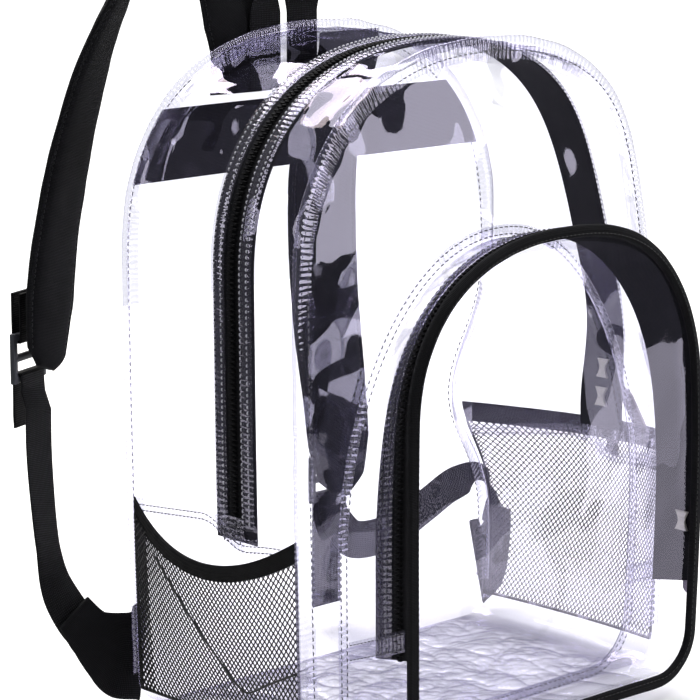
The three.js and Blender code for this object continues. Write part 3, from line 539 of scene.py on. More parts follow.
def woven_cloth(name, dark, light, thread_mm, twill=0.0, roughness=0.85, depth=0.0006):
    """Filament polyester or nylon, woven and piece-dyed.

    Threads cross over and under, so the face is matt and slightly ribbed. Pale glints on the crowns of the
    threads are painted into the base colour as painted highlights. Real threads are about half as wide as
    these, which are drawn to show.
    """
    material, tree = new_material(name)
    coords = add(tree, "TexCoord")
    place = add(tree, "Mapping", {"Vector": coords.outputs["UV"], "Rotation": (0, 0, twill)})
    threads = {"Vector": place.outputs[0], "Scale": WAVE_TURN / thread_mm, "Distortion": 0.3}
    warp, weft = (
        add(tree, "TexWave", threads, wave_type="BANDS", bands_direction=way) for way in ("X", "Y")
    )
    weave = add(tree, "Math", {0: warp.outputs["Fac"], 1: weft.outputs["Fac"]}, operation="MULTIPLY")
    worn = add(tree, "TexNoise", {"Vector": coords.outputs["Object"], "Scale": 60.0, "Detail": 3.0})
    tone = add(tree, "Math", {0: worn.outputs[0], 1: 0.5, 2: weave.outputs[0]}, operation="MULTIPLY_ADD")
    # Base colour runs from dark to light with the weave: the light end is a painted highlight on the thread
    # crowns, and the noise adds random tone
    ramp = add(tree, "ValToRGB", {"Fac": tone.outputs[0]})
    ramp.color_ramp.elements[0].color = linear(dark)
    ramp.color_ramp.elements[0].position = 0.25
    ramp.color_ramp.elements[1].color = linear(light)
    ramp.color_ramp.elements[1].position = 1.0
    bump = add(tree, "Bump", {"Height": weave.outputs[0], "Strength": 0.6, "Distance": depth})
    inputs = {
        "Base Color": ramp.outputs[0],
        "Roughness": roughness,
        "Normal": bump.outputs[0],
        "IOR": 1.5,
        "Specular IOR Level": 0.12,
    }
    finish_with(tree, add(tree, "BsdfPrincipled", inputs))
    return material


def moulded_plastic(name, colour, roughness, grain_mm, ior=1.48, level=0.5):
    """Injection-moulded plastic, with the fine even grain of a spark-eroded mould."""
    material, tree = new_material(name)
    coords = add(tree, "TexCoord")
    scale = 1000 / grain_mm / 6
    grain = add(tree, "TexNoise", {"Vector": coords.outputs["Object"], "Scale": scale, "Detail": 2.0})
    tone = add(tree, "ValToRGB", {"Fac": grain.outputs[0]})
    base = linear(colour)
    tone.color_ramp.elements[0].color = (*[v * 0.82 for v in base[:3]], 1)
    tone.color_ramp.elements[1].color = (*[min(1, v * 1.15) for v in base[:3]], 1)
    bump = add(tree, "Bump", {"Height": grain.outputs[0], "Strength": 0.25, "Distance": 0.0003})
    inputs = {
        "Base Color": tone.outputs[0],
        "Roughness": roughness,
        "Normal": bump.outputs[0],
        "IOR": ior,
        "Specular IOR Level": level,
    }
    finish_with(tree, add(tree, "BsdfPrincipled", inputs))
    return material


VINYL = calendered_vinyl("calendered clear vinyl", ("#fafafd", "#a5a4b6"), 0.085, 0.42)
BOTTOM_VINYL = calendered_vinyl("creased clear vinyl", ("#fafafd", "#9a99ac"), 0.085, 0.9)
FOLDED_VINYL = calendered_vinyl(
    "folded clear vinyl", ("#efeff4", "#77768a"), 0.12, 0.5, haze=0.03, pucker=0.07
)
# Each cloth's second colour is the painted highlight on its thread crowns
POLYESTER = woven_cloth("black woven polyester", "#0c0c0e", "#232326", 0.9)
TAPE = woven_cloth("black woven zipper tape", "#101012", "#2b2b2f", 0.8, twill=0.6)
WEBBING = woven_cloth("black polypropylene webbing", "#0b0b0c", "#262629", 1.3, roughness=0.6)
ELASTIC = woven_cloth("black ribbed elastic", "#0a0a0b", "#1e1e20", 1.0, roughness=0.75)
NET = moulded_plastic("black knitted polyester thread", "#1a1a1c", 0.55, 0.6)
COIL = moulded_plastic("black nylon coil", "#08080a", 0.6, 0.4, level=0.1)
# The ladder locks' dark grey base colour is painted reflection, standing for the grey sheen they show
ACETAL = moulded_plastic("dark grey moulded acetal", "#3b3d42", 0.42, 0.5)
ZINC = moulded_plastic("pale painted zinc casting", "#cfcbc0", 0.38, 0.5, ior=1.5)
PULL = moulded_plastic("grey moulded pull", "#958b90", 0.55, 0.5)
PALE_THREAD = moulded_plastic("pale grey bonded thread", "#d2d1da", 0.5, 0.3)
# The pale thread again, darkened to grey as painted shade where its stitches lie on clear vinyl over white
SHADED_THREAD = moulded_plastic("pale bonded thread darkened as painted shade", "#5c5b64", 0.5, 0.3)
BLACK_THREAD = moulded_plastic("black bonded thread", "#141416", 0.5, 0.3)


# Body of clear vinyl


def panel_grid(outline, depth, columns, rows):
    """Points over an arched panel, closer together towards its sides."""
    x = -outline.half * np.cos(np.linspace(0, np.pi, columns))
    share = np.linspace(0, 1, rows)
    z = outline.foot(x)[:, None] + (outline.arch(x) - outline.foot(x))[:, None] * share[None]
    x = np.broadcast_to(x[:, None], z.shape)
    return np.stack([x, np.full(z.shape, float(depth)), z], -1)


def edge_distance(grid, outline):
    """Roughly how far each point of a panel lies from the panel's edge."""
    x, z = grid[..., 0], grid[..., 2]
    turn = np.linspace(0, outline.length, 240)
    edge_x, edge_z = outline.at(turn)
    gaps = np.hypot(x[..., None] - edge_x, z[..., None] - edge_z)
    return gaps.min(axis=-1)


# The back panel buckles inwards beside its left seam, behind the yoke
BUCKLE = 8
BUCKLE_HEIGHT = 330
BUCKLE_SPREAD = 50
BUCKLE_ACROSS = [-1, -0.93, -0.85, -0.3, 1]
BUCKLE_DEEP = [0, 0.9, 1, 0, 0]


def make_body_panels():
    for name, depth, seed in (("back_panel", HALF_DEPTH, 3), ("front_panel", -HALF_DEPTH, 11)):
        flat = panel_grid(BODY, depth, 110, 110)
        reach = edge_distance(flat, BODY)
        open_sheet = 1 - near_edge(reach, 14)
        pucker = near_edge(np.abs(reach - 9), 9)
        inward = -np.sign(depth)
        wave = waves(flat, 95, seed) * 1.3 + waves(flat, 42, seed + 1) * 0.45
        gathered = waves(flat, 17, seed + 2) * 0.45 * pucker
        points = settle(flat)
        if name == "back_panel":
            share = np.interp(flat[..., 0] / HALF_WIDTH, BUCKLE_ACROSS, BUCKLE_DEEP)
            share = share * np.exp(-(((flat[..., 2] - BUCKLE_HEIGHT) / BUCKLE_SPREAD) ** 2))
            points[..., 1] -= BUCKLE * share * open_sheet
        points[..., 1] += inward * (SHEET / 2 + 1.2) * open_sheet + wave * open_sheet + gathered
        make_sheet(name + "_sheet", points, VINYL, stands_for=(name,), slot="clear_vinyl")


def make_gussets():
    end = BODY.length - SEAM
    s = np.linspace(SEAM + GAP / 2, end - GAP / 2, 520)
    rear_t = np.linspace(ZIP_REAR, HALF_DEPTH - SHEET, 26)
    front_t = np.linspace(-HALF_DEPTH + SHEET, ZIP_FRONT, 20)
    for name, t, zip_edge, seam_edge, seed in (
        ("gusset_rear", rear_t, ZIP_REAR, HALF_DEPTH, 21),
        ("gusset_front", front_t, ZIP_FRONT, -HALF_DEPTH, 31),
    ):
        flat = laid(body_side, s, t)
        to_zip = np.abs(t - zip_edge)[None]
        to_seam = np.abs(t - seam_edge)[None]
        free = (1 - near_edge(to_zip, 12)) * (1 - near_edge(to_seam, 5))
        wave = waves(flat, 60, seed) * 1.0 + waves(flat, 24, seed + 1) * 0.45
        fold = creases(flat, 46, seed + 2) * 0.7
        pucker = waves(flat, 14, seed + 3) * 0.4 * near_edge(to_seam, 16)
        lift = -SHEET / 2 - 0.5 * free + (wave + fold) * free + pucker
        points = laid(body_side, s, t, lift)
        make_sheet(name + "_sheet", points, VINYL, stands_for=(name,), slot="clear_vinyl")


def make_bottom():
    s = np.linspace(GAP / 2 - SEAM, SEAM - GAP / 2, 480)
    t = np.linspace(-HALF_DEPTH + SHEET, HALF_DEPTH - SHEET, 130)
    flat = laid(body_side, s, t)
    edge = 1 - near_edge(HALF_DEPTH - np.abs(t), 12)[None]
    on_floor = 1 - near_edge((BODY.half - BASE_CORNER) - np.abs(s), 26)[:, None]
    on_floor = np.where(np.abs(s)[:, None] < BODY.half, on_floor, 0)
    crumple = creases(flat, 60, 41) * 0.9 + creases(flat, 28, 42) * 0.8 + creases(flat, 13, 43) * 0.35
    crumple = crumple * on_floor
    side = (waves(flat, 55, 44) * 0.8 + waves(flat, 25, 45) * 0.3) * (1 - on_floor)
    lift = -SHEET / 2 - (1.6 * on_floor + 0.3) * edge + np.minimum(crumple, 1.4) * edge + side * edge * 0.6
    points = laid(body_side, s, t, lift)
    points[..., 2] = np.maximum(points[..., 2], 0.3)
    make_sheet("bottom_sheet", points, BOTTOM_VINYL, stands_for=("bottom_gusset",), slot="clear_vinyl")


# A folded tape's section: reach past the panel's edge, and stand-off from the panel's middle
BINDING_FOLD = [
    (-9, 1.35),
    (-4, 1.45),
    (1, 1.3),
    (BINDING_REACH - 0.6, 0.7),
    (BINDING_REACH, 0),
    (BINDING_REACH - 0.6, -0.7),
    (1.6, -1.3),
    (0.4, -1.3),
]


def make_bindings():
    """A clear tape folded over each panel's edge and stitched through."""
    foot = BODY.left(BINDING_FOOT)
    s = np.linspace(foot, BODY.length - foot, 620)
    stitches = []
    for name, depth, inward, seed in (
        ("back_binding", HALF_DEPTH, -1, 51),
        ("front_binding", -HALF_DEPTH, 1, 61),
    ):
        rows = []
        base = body_side(s, depth)
        out = facing(body_side, s, np.full(s.shape, depth * 0.98))
        wobble = waves(base, 22, seed) * 0.35
        for reach, proud in BINDING_FOLD:
            y = -inward * (proud - SHEET)
            rows.append(base + out * (reach + wobble * (reach > 0))[..., None] + np.array([0, 1.0, 0]) * y)
        grid = np.stack(rows, axis=1)
        make_sheet(name + "_fold", grid, FOLDED_VINYL, stands_for=(name,), slot="clear_vinyl")
        line = base + out * -4 + np.array([0, -inward * 2.9, 0])
        face = np.tile([0.0, -inward, 0.0], (len(s), 1))
        stitches.append(stitch_row(line, face, **SEAM_STITCH))
    make_stitches("binding_stitches", stitches, SHADED_THREAD, slot="clear_vinyl")


# Main zipper

# The section of the hem on each side of the zipper: reach from its edge, and lift off the wall
ZIPPER_HEM = [
    (-2.0, -SHEET - 0.15),
    (-2.3, -SHEET / 2),
    (-2.0, 0.1),
    (-1.2, 0.35),
    (0.6, 0.2),
    (2.6, 0.65),
    (4.6, 0.3),
    (6.2, 0.6),
    (7.4, 0.3),
    (8.6, 0.1),
]


def make_zipper():
    s = np.linspace(BODY.left(ZIP_FOOT), BODY.length - BODY.left(ZIP_FOOT_RIGHT), 460)
    t = np.linspace(-ZIP_FORWARD - ZIP_TAPE / 2, -ZIP_FORWARD + ZIP_TAPE / 2, 19)
    rib = 0.25 * near_edge(np.abs(np.abs(t + ZIP_FORWARD) - COIL_WIDTH / 2 - 1), 2)[None]
    top = laid(body_side, s, t, -SHEET - GAP + rib)
    bottom = laid(body_side, s, t, -SHEET - GAP - TAPE_THICKNESS)
    make_wall("main_tape", top, bottom, TAPE, stands_for=("main_zipper_tape",), slot="zipper_tape")
    make_coil("main_coil", body_side, SEAM + 1, BODY.length - SEAM - 1, -ZIP_FORWARD, "main_zipper_coil")
    run = np.linspace(SEAM + 2, BODY.length - SEAM - 2, 900)
    rows = []
    for edge, way in ((ZIP_REAR, 1), (ZIP_FRONT, -1)):
        for inset in (-0.4, 5.2):
            rows.append(wall_stitches(body_side, run, edge + way * inset, 0.6, radius=0.42, length=2.0))
    make_stitches("main_zipper_stitches", rows, PALE_THREAD, slot="zipper_tape")
    reaches, lifts = np.array(ZIPPER_HEM).T
    hem_s = np.linspace(SEAM + GAP, BODY.length - SEAM - GAP, 420)
    for name, edge, way in (("rear", ZIP_REAR, 1), ("front", ZIP_FRONT, -1)):
        grid = laid(body_side, hem_s, edge + way * reaches, lifts[None])
        make_sheet(f"zipper_hem_{name}", grid, FOLDED_VINYL, slot="clear_vinyl")


# A coil's teeth: their pitch, then share of the way across half the coil and radius
COIL_PITCH = 1.5
COIL_TOOTH = [(-0.12, 0.35), (0.0, 0.62), (0.5, 0.66), (0.92, 0.62), (1.0, 0.3)]


def make_coil(name, surface, start, end, t, node):
    """Nylon filament wound in a coil: a row of close teeth, gripped from both sides in turn."""
    places = np.arange(start, end, COIL_PITCH)
    teeth = []
    turn = np.linspace(0, 2 * np.pi, 6, endpoint=False)
    for i, side in enumerate((-1, 1)):
        s = places[i::2]
        rows = []
        for share, fat in COIL_TOOTH:
            across = t + side * (share * COIL_WIDTH / 2)
            middle = surface(s, np.full(s.shape, across))
            out = facing(surface, s, np.full(s.shape, across))
            along = unit(surface(s + 0.5, np.full(s.shape, across)) - middle)
            centre = middle + out * (-SHEET + COIL_HEIGHT / 2 + 0.1)
            round_s = np.cos(turn)[None, :, None] * along[:, None] * fat
            round_up = np.sin(turn)[None, :, None] * out[:, None] * fat * 1.45
            rows.append(centre[:, None] + round_s + round_up)
        teeth.append(np.stack(rows, axis=1))
    make_stitches(name, teeth, COIL, stands_for=(node,), slot="zipper_coil")


# The seam that joins each side wall to the bottom sheet: depth and height
SEAM_LINE = [(-75, 127), (-48, 125), (-23, 121), (-10, 127), (3, 135), (44, 131), (75, 128)]


# The strip's section: rise from the seam, and lift off the wall
SEAM_SECTION = [
    (-5.4, 0.1),
    (-5.2, 0.45),
    (-2.5, 0.8),
    (0, 0.5),
    (2.5, 0.8),
    (3.2, 0.45),
    (3.4, 0.1),
]
SEAM_STITCH_RISES = (-4.0, -0.6)

# The patch at the zipper's lower end, with its rows of stitches from and to: aside from the
# zipper's middle, and height
PATCH_HALF = 9
PATCH_FOOT = 118
PATCH_TOP = 137
PATCH_STITCHES = [
    ((-7, 120), (-7, 136)),
    ((7, 120), (7, 136)),
    ((-7, 121), (7, 127)),
    ((7, 121), (-7, 127)),
    ((-7, 129), (7, 135)),
    ((7, 129), (-7, 135)),
    ((-7, 128), (7, 128)),
]


def make_side_seams():
    """A narrow strip folded over the side seam, and a stitched patch at the zipper's lower end."""
    places = np.linspace(-HALF_DEPTH + 2, HALF_DEPTH - 2, 90)
    line = np.interp(places, *np.array(SEAM_LINE, float).T)
    line = np.convolve(np.pad(line, 4, mode="edge"), np.full(9, 1 / 9), mode="valid")
    rises, lifts = np.array(SEAM_SECTION).T
    patch_depths = np.linspace(-ZIP_FORWARD - PATCH_HALF, -ZIP_FORWARD + PATCH_HALF, 12)
    patch_heights = np.linspace(PATCH_FOOT, PATCH_TOP, 12)
    rows = []
    for name, right in (("left", False), ("right", True)):
        depth, rise = np.meshgrid(places, rises, indexing="ij")
        up = up_side(line[:, None] + rise, right)
        out = facing(body_side, up, depth)
        strip = body_side(up, depth) + out * lifts[None, :, None]
        strip += (waves(strip, 12, 121) * 0.25)[..., None] * out
        make_sheet(f"side_seam_{name}", strip, FOLDED_VINYL, slot="clear_vinyl")
        for rise in SEAM_STITCH_RISES:
            up = up_side(line + rise, right)
            rows.append(wall_stitches(body_side, up, places, 1.0, radius=0.36))
        depth, height = np.meshgrid(patch_depths, patch_heights)
        up = up_side(height, right)
        out = facing(body_side, up, depth)
        patch = body_side(up, depth) + out * 1.2
        patch += out * (waves(patch, 9, 122) * 0.5)[..., None]
        make_sheet(f"zipper_end_patch_{name}", patch, FOLDED_VINYL, slot="clear_vinyl")
        run = np.linspace(0, 1, 30)
        for start, end in PATCH_STITCHES:
            along = -ZIP_FORWARD + start[0] + (end[0] - start[0]) * run
            up = up_side(start[1] + (end[1] - start[1]) * run, right)
            rows.append(wall_stitches(body_side, up, along, 1.7, radius=0.4))
    make_stitches("side_seam_stitches", rows, SHADED_THREAD, slot="clear_vinyl")


# Front pocket


POCKET_ARCH = np.linspace(POCKET_TURN + GAP, POCKET_BASE.length - POCKET_TURN - GAP, 400)

# The section of the hem beside the pocket's zipper: reach from its edge, and lift off the wall
POCKET_HEM = [
    (11.5, 0.1),
    (10.5, 0.4),
    (8.5, 0.15),
    (6.5, 0.5),
    (4.5, 0.55),
    (2.5, 0.15),
    (0.3, 0.3),
    (-1.0, 0.1),
    (-1.2, -SHEET / 2),
    (-1.0, -SHEET - 0.15),
]


def make_pocket_walls():
    """The arched wall with its sewn flange, and the lower wall."""
    wall_t = np.concatenate([np.linspace(-POCKET_FLANGE, -1, 5), np.linspace(-0.3, POCKET_GUSSET_END, 16)])
    flat = laid(pocket_side, POCKET_ARCH, wall_t)
    free = near_edge(np.abs(wall_t - POCKET_GUSSET_END / 2), POCKET_GUSSET_END / 2)[None]
    pucker = near_edge(np.abs(wall_t), 10)[None]
    lift = (waves(flat, 40, 71) * 0.9 + creases(flat, 30, 72) * 0.5 - 0.6) * free
    lift = lift + waves(flat, 13, 73) * 0.3 * pucker - SHEET / 2
    grid = laid(pocket_side, POCKET_ARCH, wall_t, lift)
    make_sheet("pocket_wall", grid, VINYL, stands_for=("pocket_gusset",), slot="clear_vinyl")
    under = np.linspace(-POCKET_TURN, POCKET_TURN, 260)
    deep_t = np.concatenate([wall_t[:5], np.linspace(-0.3, POCKET_WALL_END - GAP, 24)])
    flat = laid(pocket_side, under, deep_t)
    free = near_edge(np.abs(deep_t - POCKET_WALL_END / 2), POCKET_WALL_END / 2)[None]
    lift = (waves(flat, 44, 74) * 0.8 + creases(flat, 36, 75) * 0.8 - 0.8) * free - SHEET / 2
    grid = laid(pocket_side, under, deep_t, lift)
    make_sheet("pocket_underside", grid, VINYL, stands_for=("pocket_lower_gusset",), slot="clear_vinyl")


def make_pocket_zipper():
    """The pocket's zipper tape and coil, the wall's stitches, and the folds beside them."""
    start, end = POCKET_ARCH[0], POCKET_ARCH[-1]
    tape_t = np.linspace(POCKET_TAPE_START, POCKET_WALL_END - GAP, 15)
    top = laid(pocket_side, POCKET_ARCH, tape_t, -SHEET - GAP)
    bottom = laid(pocket_side, POCKET_ARCH, tape_t, -SHEET - GAP - TAPE_THICKNESS)
    make_wall("pocket_tape", top, bottom, TAPE, stands_for=("pocket_zipper_tape",), slot="zipper_tape")
    middle = POCKET_GUSSET_END + POCKET_ZIP_OPENING / 2
    make_coil("pocket_coil", pocket_side, start, end, middle, "pocket_zipper_coil")
    run = np.linspace(start + 2, end - 2, 700)
    round_all = np.linspace(1, POCKET_BASE.length - 1, 800)
    rows = []
    for inset in (2.5, 8.5):
        rows.append(wall_stitches(pocket_side, run, POCKET_GUSSET_END - inset, 0.5, **SEAM_STITCH))
    for inset in (1.6, 5.8):
        rows.append(wall_stitches(pocket_side, round_all, -inset, 0.5, **SEAM_STITCH))
    make_stitches("pocket_stitches", rows, SHADED_THREAD, slot="clear_vinyl")
    reaches, lifts = np.array(POCKET_HEM).T
    hem_s = np.linspace(start, end, 320)
    hem = laid(pocket_side, hem_s, POCKET_GUSSET_END - reaches, lifts[None])
    make_sheet("pocket_hem", hem, FOLDED_VINYL, slot="clear_vinyl")
    flange = laid(pocket_side, np.linspace(0, POCKET_BASE.length, 400), np.linspace(-7.4, -0.5, 4), 0.15)
    make_sheet("pocket_flange_fold", flange, FOLDED_VINYL, slot="clear_vinyl")


# A pocket band's section: rise from its middle, and lift off the wall
BAND_SECTION = [(-6.2, 0.1), (-6, 0.5), (-3, 0.8), (0, 0.55), (3, 0.8), (6, 0.5), (6.2, 0.1)]
BAND_STITCH_RISES = (-4.4, 4.4)
BAND_SLOPE = 0.2


def band_place(reach, rise, left):
    """The distance round the pocket's wall to a reach and a rise along a band."""
    s = POCKET_BASE.left(POCKET_ZIP_FOOT + 2 + reach * BAND_SLOPE + rise)
    return POCKET_BASE.length - s if left else s


def make_pocket_bands():
    """A strip folded over the seam at each lower end of the pocket's zipper."""
    reaches = np.linspace(0.8, POCKET_WALL_END - 1, 26)
    rises, lifts = np.array(BAND_SECTION).T
    reach, rise = np.meshgrid(reaches, rises, indexing="ij")
    rows = []
    for name, left in (("right", False), ("left", True)):
        s = band_place(reach, rise, left)
        strip = pocket_side(s, reach) + facing(pocket_side, s, reach) * lifts[None, :, None]
        make_sheet(f"pocket_band_{name}", strip, FOLDED_VINYL, slot="clear_vinyl")
        for stitch_rise in BAND_STITCH_RISES:
            along = band_place(reaches, stitch_rise, left)
            rows.append(wall_stitches(pocket_side, along, reaches, 1.0))
    make_stitches("pocket_band_stitches", rows, SHADED_THREAD, slot="clear_vinyl")


def pocket_rim(s, reach, lift):
    """A place on the pocket's rim, by its reach from the body and its lift off the side wall."""
    s = np.asarray(s, float)
    out = facing(pocket_side, s, np.full(s.shape, POCKET_WALL_END))
    return pocket_side(s, np.full(s.shape, float(reach))) + out * lift


def make_pocket_face():
    s = np.linspace(0, POCKET_BASE.length, 320, endpoint=False)
    middle_reach = (POCKET_WALL_END + POCKET_DEPTH) / 2
    half_reach = POCKET_BINDING_DEPTH / 2
    middle_lift = (BINDING_LIP - POCKET_BINDING) / 2
    half_lift = (BINDING_LIP + POCKET_BINDING) / 2
    turn = np.linspace(0, 2 * np.pi, 16, endpoint=False)
    rows = []
    for angle in turn:
        cosine, sine = math.cos(angle), math.sin(angle)
        reach = middle_reach + half_reach * math.copysign(abs(cosine) ** 0.55, cosine)
        lift = middle_lift + half_lift * math.copysign(abs(sine) ** 0.55, sine)
        rows.append(pocket_rim(s, reach, lift))
    sections = np.stack(rows, axis=1)
    sections += (waves(sections, 16, 81) * 0.18)[..., None]
    node = ("pocket_binding",)
    make_sweep("pocket_edge", sections, POLYESTER, ring=True, stands_for=node, slot="black_fabric")
    start = POCKET_BASE.half - POCKET_BASE.corner
    rise = np.linspace(start, POCKET_BASE.length / 2 - 0.5, 120)
    inset = -POCKET_BINDING - GAP
    right = pocket_rim(rise, POCKET_WALL_END, inset)
    left = pocket_rim(POCKET_BASE.length - rise, POCKET_WALL_END, inset)
    across = np.sin(np.linspace(-np.pi / 2, np.pi / 2, 100))
    grid = left[:, None] + (right - left)[:, None] * ((across + 1) / 2)[None, :, None]
    belly = np.sin(np.pi * np.linspace(0, 1, len(rise)))[:, None] * (1 - across**2)[None]
    wave = waves(grid, 80, 82) * 1.2 + waves(grid, 36, 83) * 0.4
    free = np.minimum(1, belly * 4)
    grid[..., 1] -= SHEET / 2 + POCKET_FACE_SWELL * belly + wave * free
    make_sheet("pocket_face", grid, VINYL, stands_for=("pocket_front",), slot="clear_vinyl")
    edge_s = np.linspace(0, POCKET_BASE.length, 700)
    line = pocket_rim(edge_s, POCKET_DEPTH + 0.1, -POCKET_BINDING + 1.4)
    face = np.tile([0.0, -1.0, 0.0], (len(edge_s), 1))
    row = stitch_row(line, face, length=2.4, radius=0.28)
    make_stitches("pocket_edge_stitches", [row], BLACK_THREAD, slot="black_fabric")


# Mesh side pockets


def mesh_place(side, rise, sag, y, share, lift):
    """A place on a mesh side pocket, by its depth and its share of the way up."""
    top = MESH_TOP + rise - sag * (1 - (y / MESH_REACH) ** 2)
    wall = body_side(up_side(MESH_FOOT + (top - MESH_FOOT) * share, side > 0), y)
    bulge = MESH_BULGE * (1 - (y / MESH_REACH) ** 2) * np.clip(share, 0, 1) ** 0.7
    wall[..., 0] += side * (GAP + MESH_SLACK + bulge + lift)
    return wall


# Each side pocket's name, side, rise of its top, and sag of its top's middle
SIDE_POCKETS = [("left", -1, 0, 24), ("right", 1, 16, 6)]
BAND_SHARE = ELASTIC_HEIGHT / (MESH_TOP - MESH_FOOT)
NET_PITCH = 3.4
NET_THREADS = {"left": 0.52, "right": 0.42}

# Where the left net is gathered double towards the back, and its dart's corners: depth and height
GATHER_START = 57
DART = [(46.7, 101.8), (10, 69), (-25, 37), (-31, 35.5), (-50, 45), (-70, 55)]


def make_dart(side, rise, sag):
    """A pleat stitched across the net, which shows as a dark line."""
    y, z = np.array(DART, float).T
    top = MESH_TOP + rise - sag * (1 - (y / MESH_REACH) ** 2)
    path = mesh_place(side, rise, sag, y, (z - MESH_FOOT) / (top - MESH_FOOT), MESH_THICKNESS + 0.5)
    path = smooth_curve(path, np.linspace(0, 1, 70))
    out = np.tile([float(side), 0.0, 0.0], (len(path), 1))
    wide = np.cross(unit(np.gradient(path, axis=0)), out)
    size = np.full(len(path), 1.3)
    sections = swept(path, wide, size, size * 0.6, FLAT_PROFILE)
    make_sweep("mesh_dart", sections, BLACK_THREAD, slot="black_mesh")


def net_threads(rows, columns, top):
    """The net's threads in diamonds: depth and share of the way up at each thread's two ends."""

    def depth_at(column):
        return -MESH_REACH + (2 * MESH_REACH) * column / columns

    threads = []
    for i in range(rows):
        low_share = top * i / rows
        high_share = top * (i + 1) / rows
        for j in range(columns + 1):
            start = min(columns, j + (i % 2) * 0.5)
            for finish in (start - 0.5, start + 0.5):
                if 0 <= finish <= columns:
                    threads.append((depth_at(start), low_share, depth_at(finish), high_share))
    return np.array(threads)


def make_net(name, side, rise, sag):
    """A net of square threads, thicker at their knots, and doubled where it is gathered."""
    height = MESH_TOP - MESH_FOOT + rise - sag * 0.6
    rows = int(height * (1 - BAND_SHARE) / (NET_PITCH * 0.62))
    ends = net_threads(rows, int(2 * MESH_REACH / NET_PITCH), 1 - BAND_SHARE * 0.9)
    doubled = (ends[:, 0] > GATHER_START) & (ends[:, 2] > GATHER_START) & (side < 0)
    gathered = ends[doubled] + np.array([-NET_PITCH / 3, 0.012, -NET_PITCH / 3, 0.012])
    depth = np.concatenate([np.full(len(ends), 0.5), np.full(len(gathered), 1.5)]) * MESH_THICKNESS
    ends = np.concatenate([ends, gathered])
    first = mesh_place(side, rise, sag, ends[:, 0], ends[:, 1], depth)
    last = mesh_place(side, rise, sag, ends[:, 2], ends[:, 3], depth)
    along = unit(last - first)
    out = np.tile([float(side), 0.0, 0.0], (len(along), 1))
    across = unit(np.cross(along, out))
    up = np.cross(across, along)
    thread = NET_THREADS[name]
    rings = []
    for place, fat in (
        (first - along * 0.5, 1.35),
        (first + along * 0.6, 0.95),
        (last - along * 0.6, 0.95),
        (last + along * 0.5, 1.35),
    ):
        ring = [
            place + across * thread * fat * math.cos(a) + up * thread * 1.1 * math.sin(a)
            for a in (0, math.pi / 2, math.pi, 3 * math.pi / 2)
        ]
        rings.append(np.stack(ring, axis=1))
    net = np.stack(rings, axis=1)
    make_stitches(f"mesh_net_{name}", [net], NET, stands_for=(f"mesh_pocket_{name}",), slot="black_mesh")


def make_net_edges(name, side, rise, sag):
    """The corded hem down both sides of a net and along its foot, and the elastic at its top."""
    down = np.linspace(1 - BAND_SHARE, 0, 40)
    along = np.linspace(MESH_REACH, -MESH_REACH, 60)
    hem_y = np.concatenate([np.full(40, MESH_REACH), along, np.full(40, -MESH_REACH)])
    hem_share = np.concatenate([down, np.zeros(60), down[::-1]])
    hem = mesh_place(side, rise, sag, hem_y, hem_share, MESH_THICKNESS / 2)
    make_sweep(f"mesh_hem_{name}", round_cord(hem, 0.85, 6), NET, slot="black_mesh")
    y = np.linspace(-MESH_REACH, MESH_REACH, 120)
    share = np.linspace(1 - BAND_SHARE, 1, 9)
    grid_y, grid_share = np.meshgrid(y, share, indexing="ij")
    rib = 0.25 * np.cos((grid_share - 1) / BAND_SHARE * 2 * np.pi * 4)
    gather = waves(mesh_place(side, rise, sag, grid_y, grid_share, 0), 7, 91) * 0.3
    top = mesh_place(side, rise, sag, grid_y, grid_share, ELASTIC_THICKNESS - 0.3 + rib + gather)
    under = mesh_place(side, rise, sag, grid_y, grid_share, 0.1)
    node = (f"mesh_elastic_{name}",)
    make_wall(f"elastic_band_{name}", top, under, ELASTIC, stands_for=node, slot="black_fabric")


def make_mesh_pockets():
    for pocket in SIDE_POCKETS:
        make_net(*pocket)
        make_net_edges(*pocket)
    make_dart(*SIDE_POCKETS[0][1:])


# Straps, webbing and hardware


def smooth_curve(points, shares):
    """Centripetal curve through points, read at shares of its number of spans."""
    points = np.asarray(points, float)
    before = 2 * points[:1] - points[1:2]
    after = 2 * points[-1:] - points[-2:-1]
    padded = np.concatenate([before, points, after])
    place = np.clip(np.asarray(shares, float), 0, 1) * (len(points) - 1)
    i = np.minimum(place.astype(int), len(points) - 2)
    w = (place - i)[:, None]
    p0, p1, p2, p3 = (padded[i + k] for k in range(4))
    d0, d1, d2 = (np.sqrt(np.linalg.norm(b - a, axis=1))[:, None] for a, b in ((p0, p1), (p1, p2), (p2, p3)))
    m1 = ((p1 - p0) / d0 - (p2 - p0) / (d0 + d1) + (p2 - p1) / d1) * d1
    m2 = ((p2 - p1) / d1 - (p3 - p1) / (d1 + d2) + (p3 - p2) / d2) * d1
    return p1 + m1 * w + (-3 * p1 + 3 * p2 - 2 * m1 - m2) * w**2 + (2 * p1 - 2 * p2 + m1 + m2) * w**3


def run_through(centres, turns, tips, shares):
    """Centre line and width direction of a strap at shares of the way through its stations."""
    stations = np.linspace(0, 1, len(centres))
    turn = np.radians(np.interp(shares, stations, turns))
    tip = np.radians(np.interp(shares, stations, tips))
    wide = np.stack([np.cos(turn) * np.cos(tip), np.sin(turn) * np.cos(tip), np.sin(tip)], -1)
    return smooth_curve(centres, shares), wide


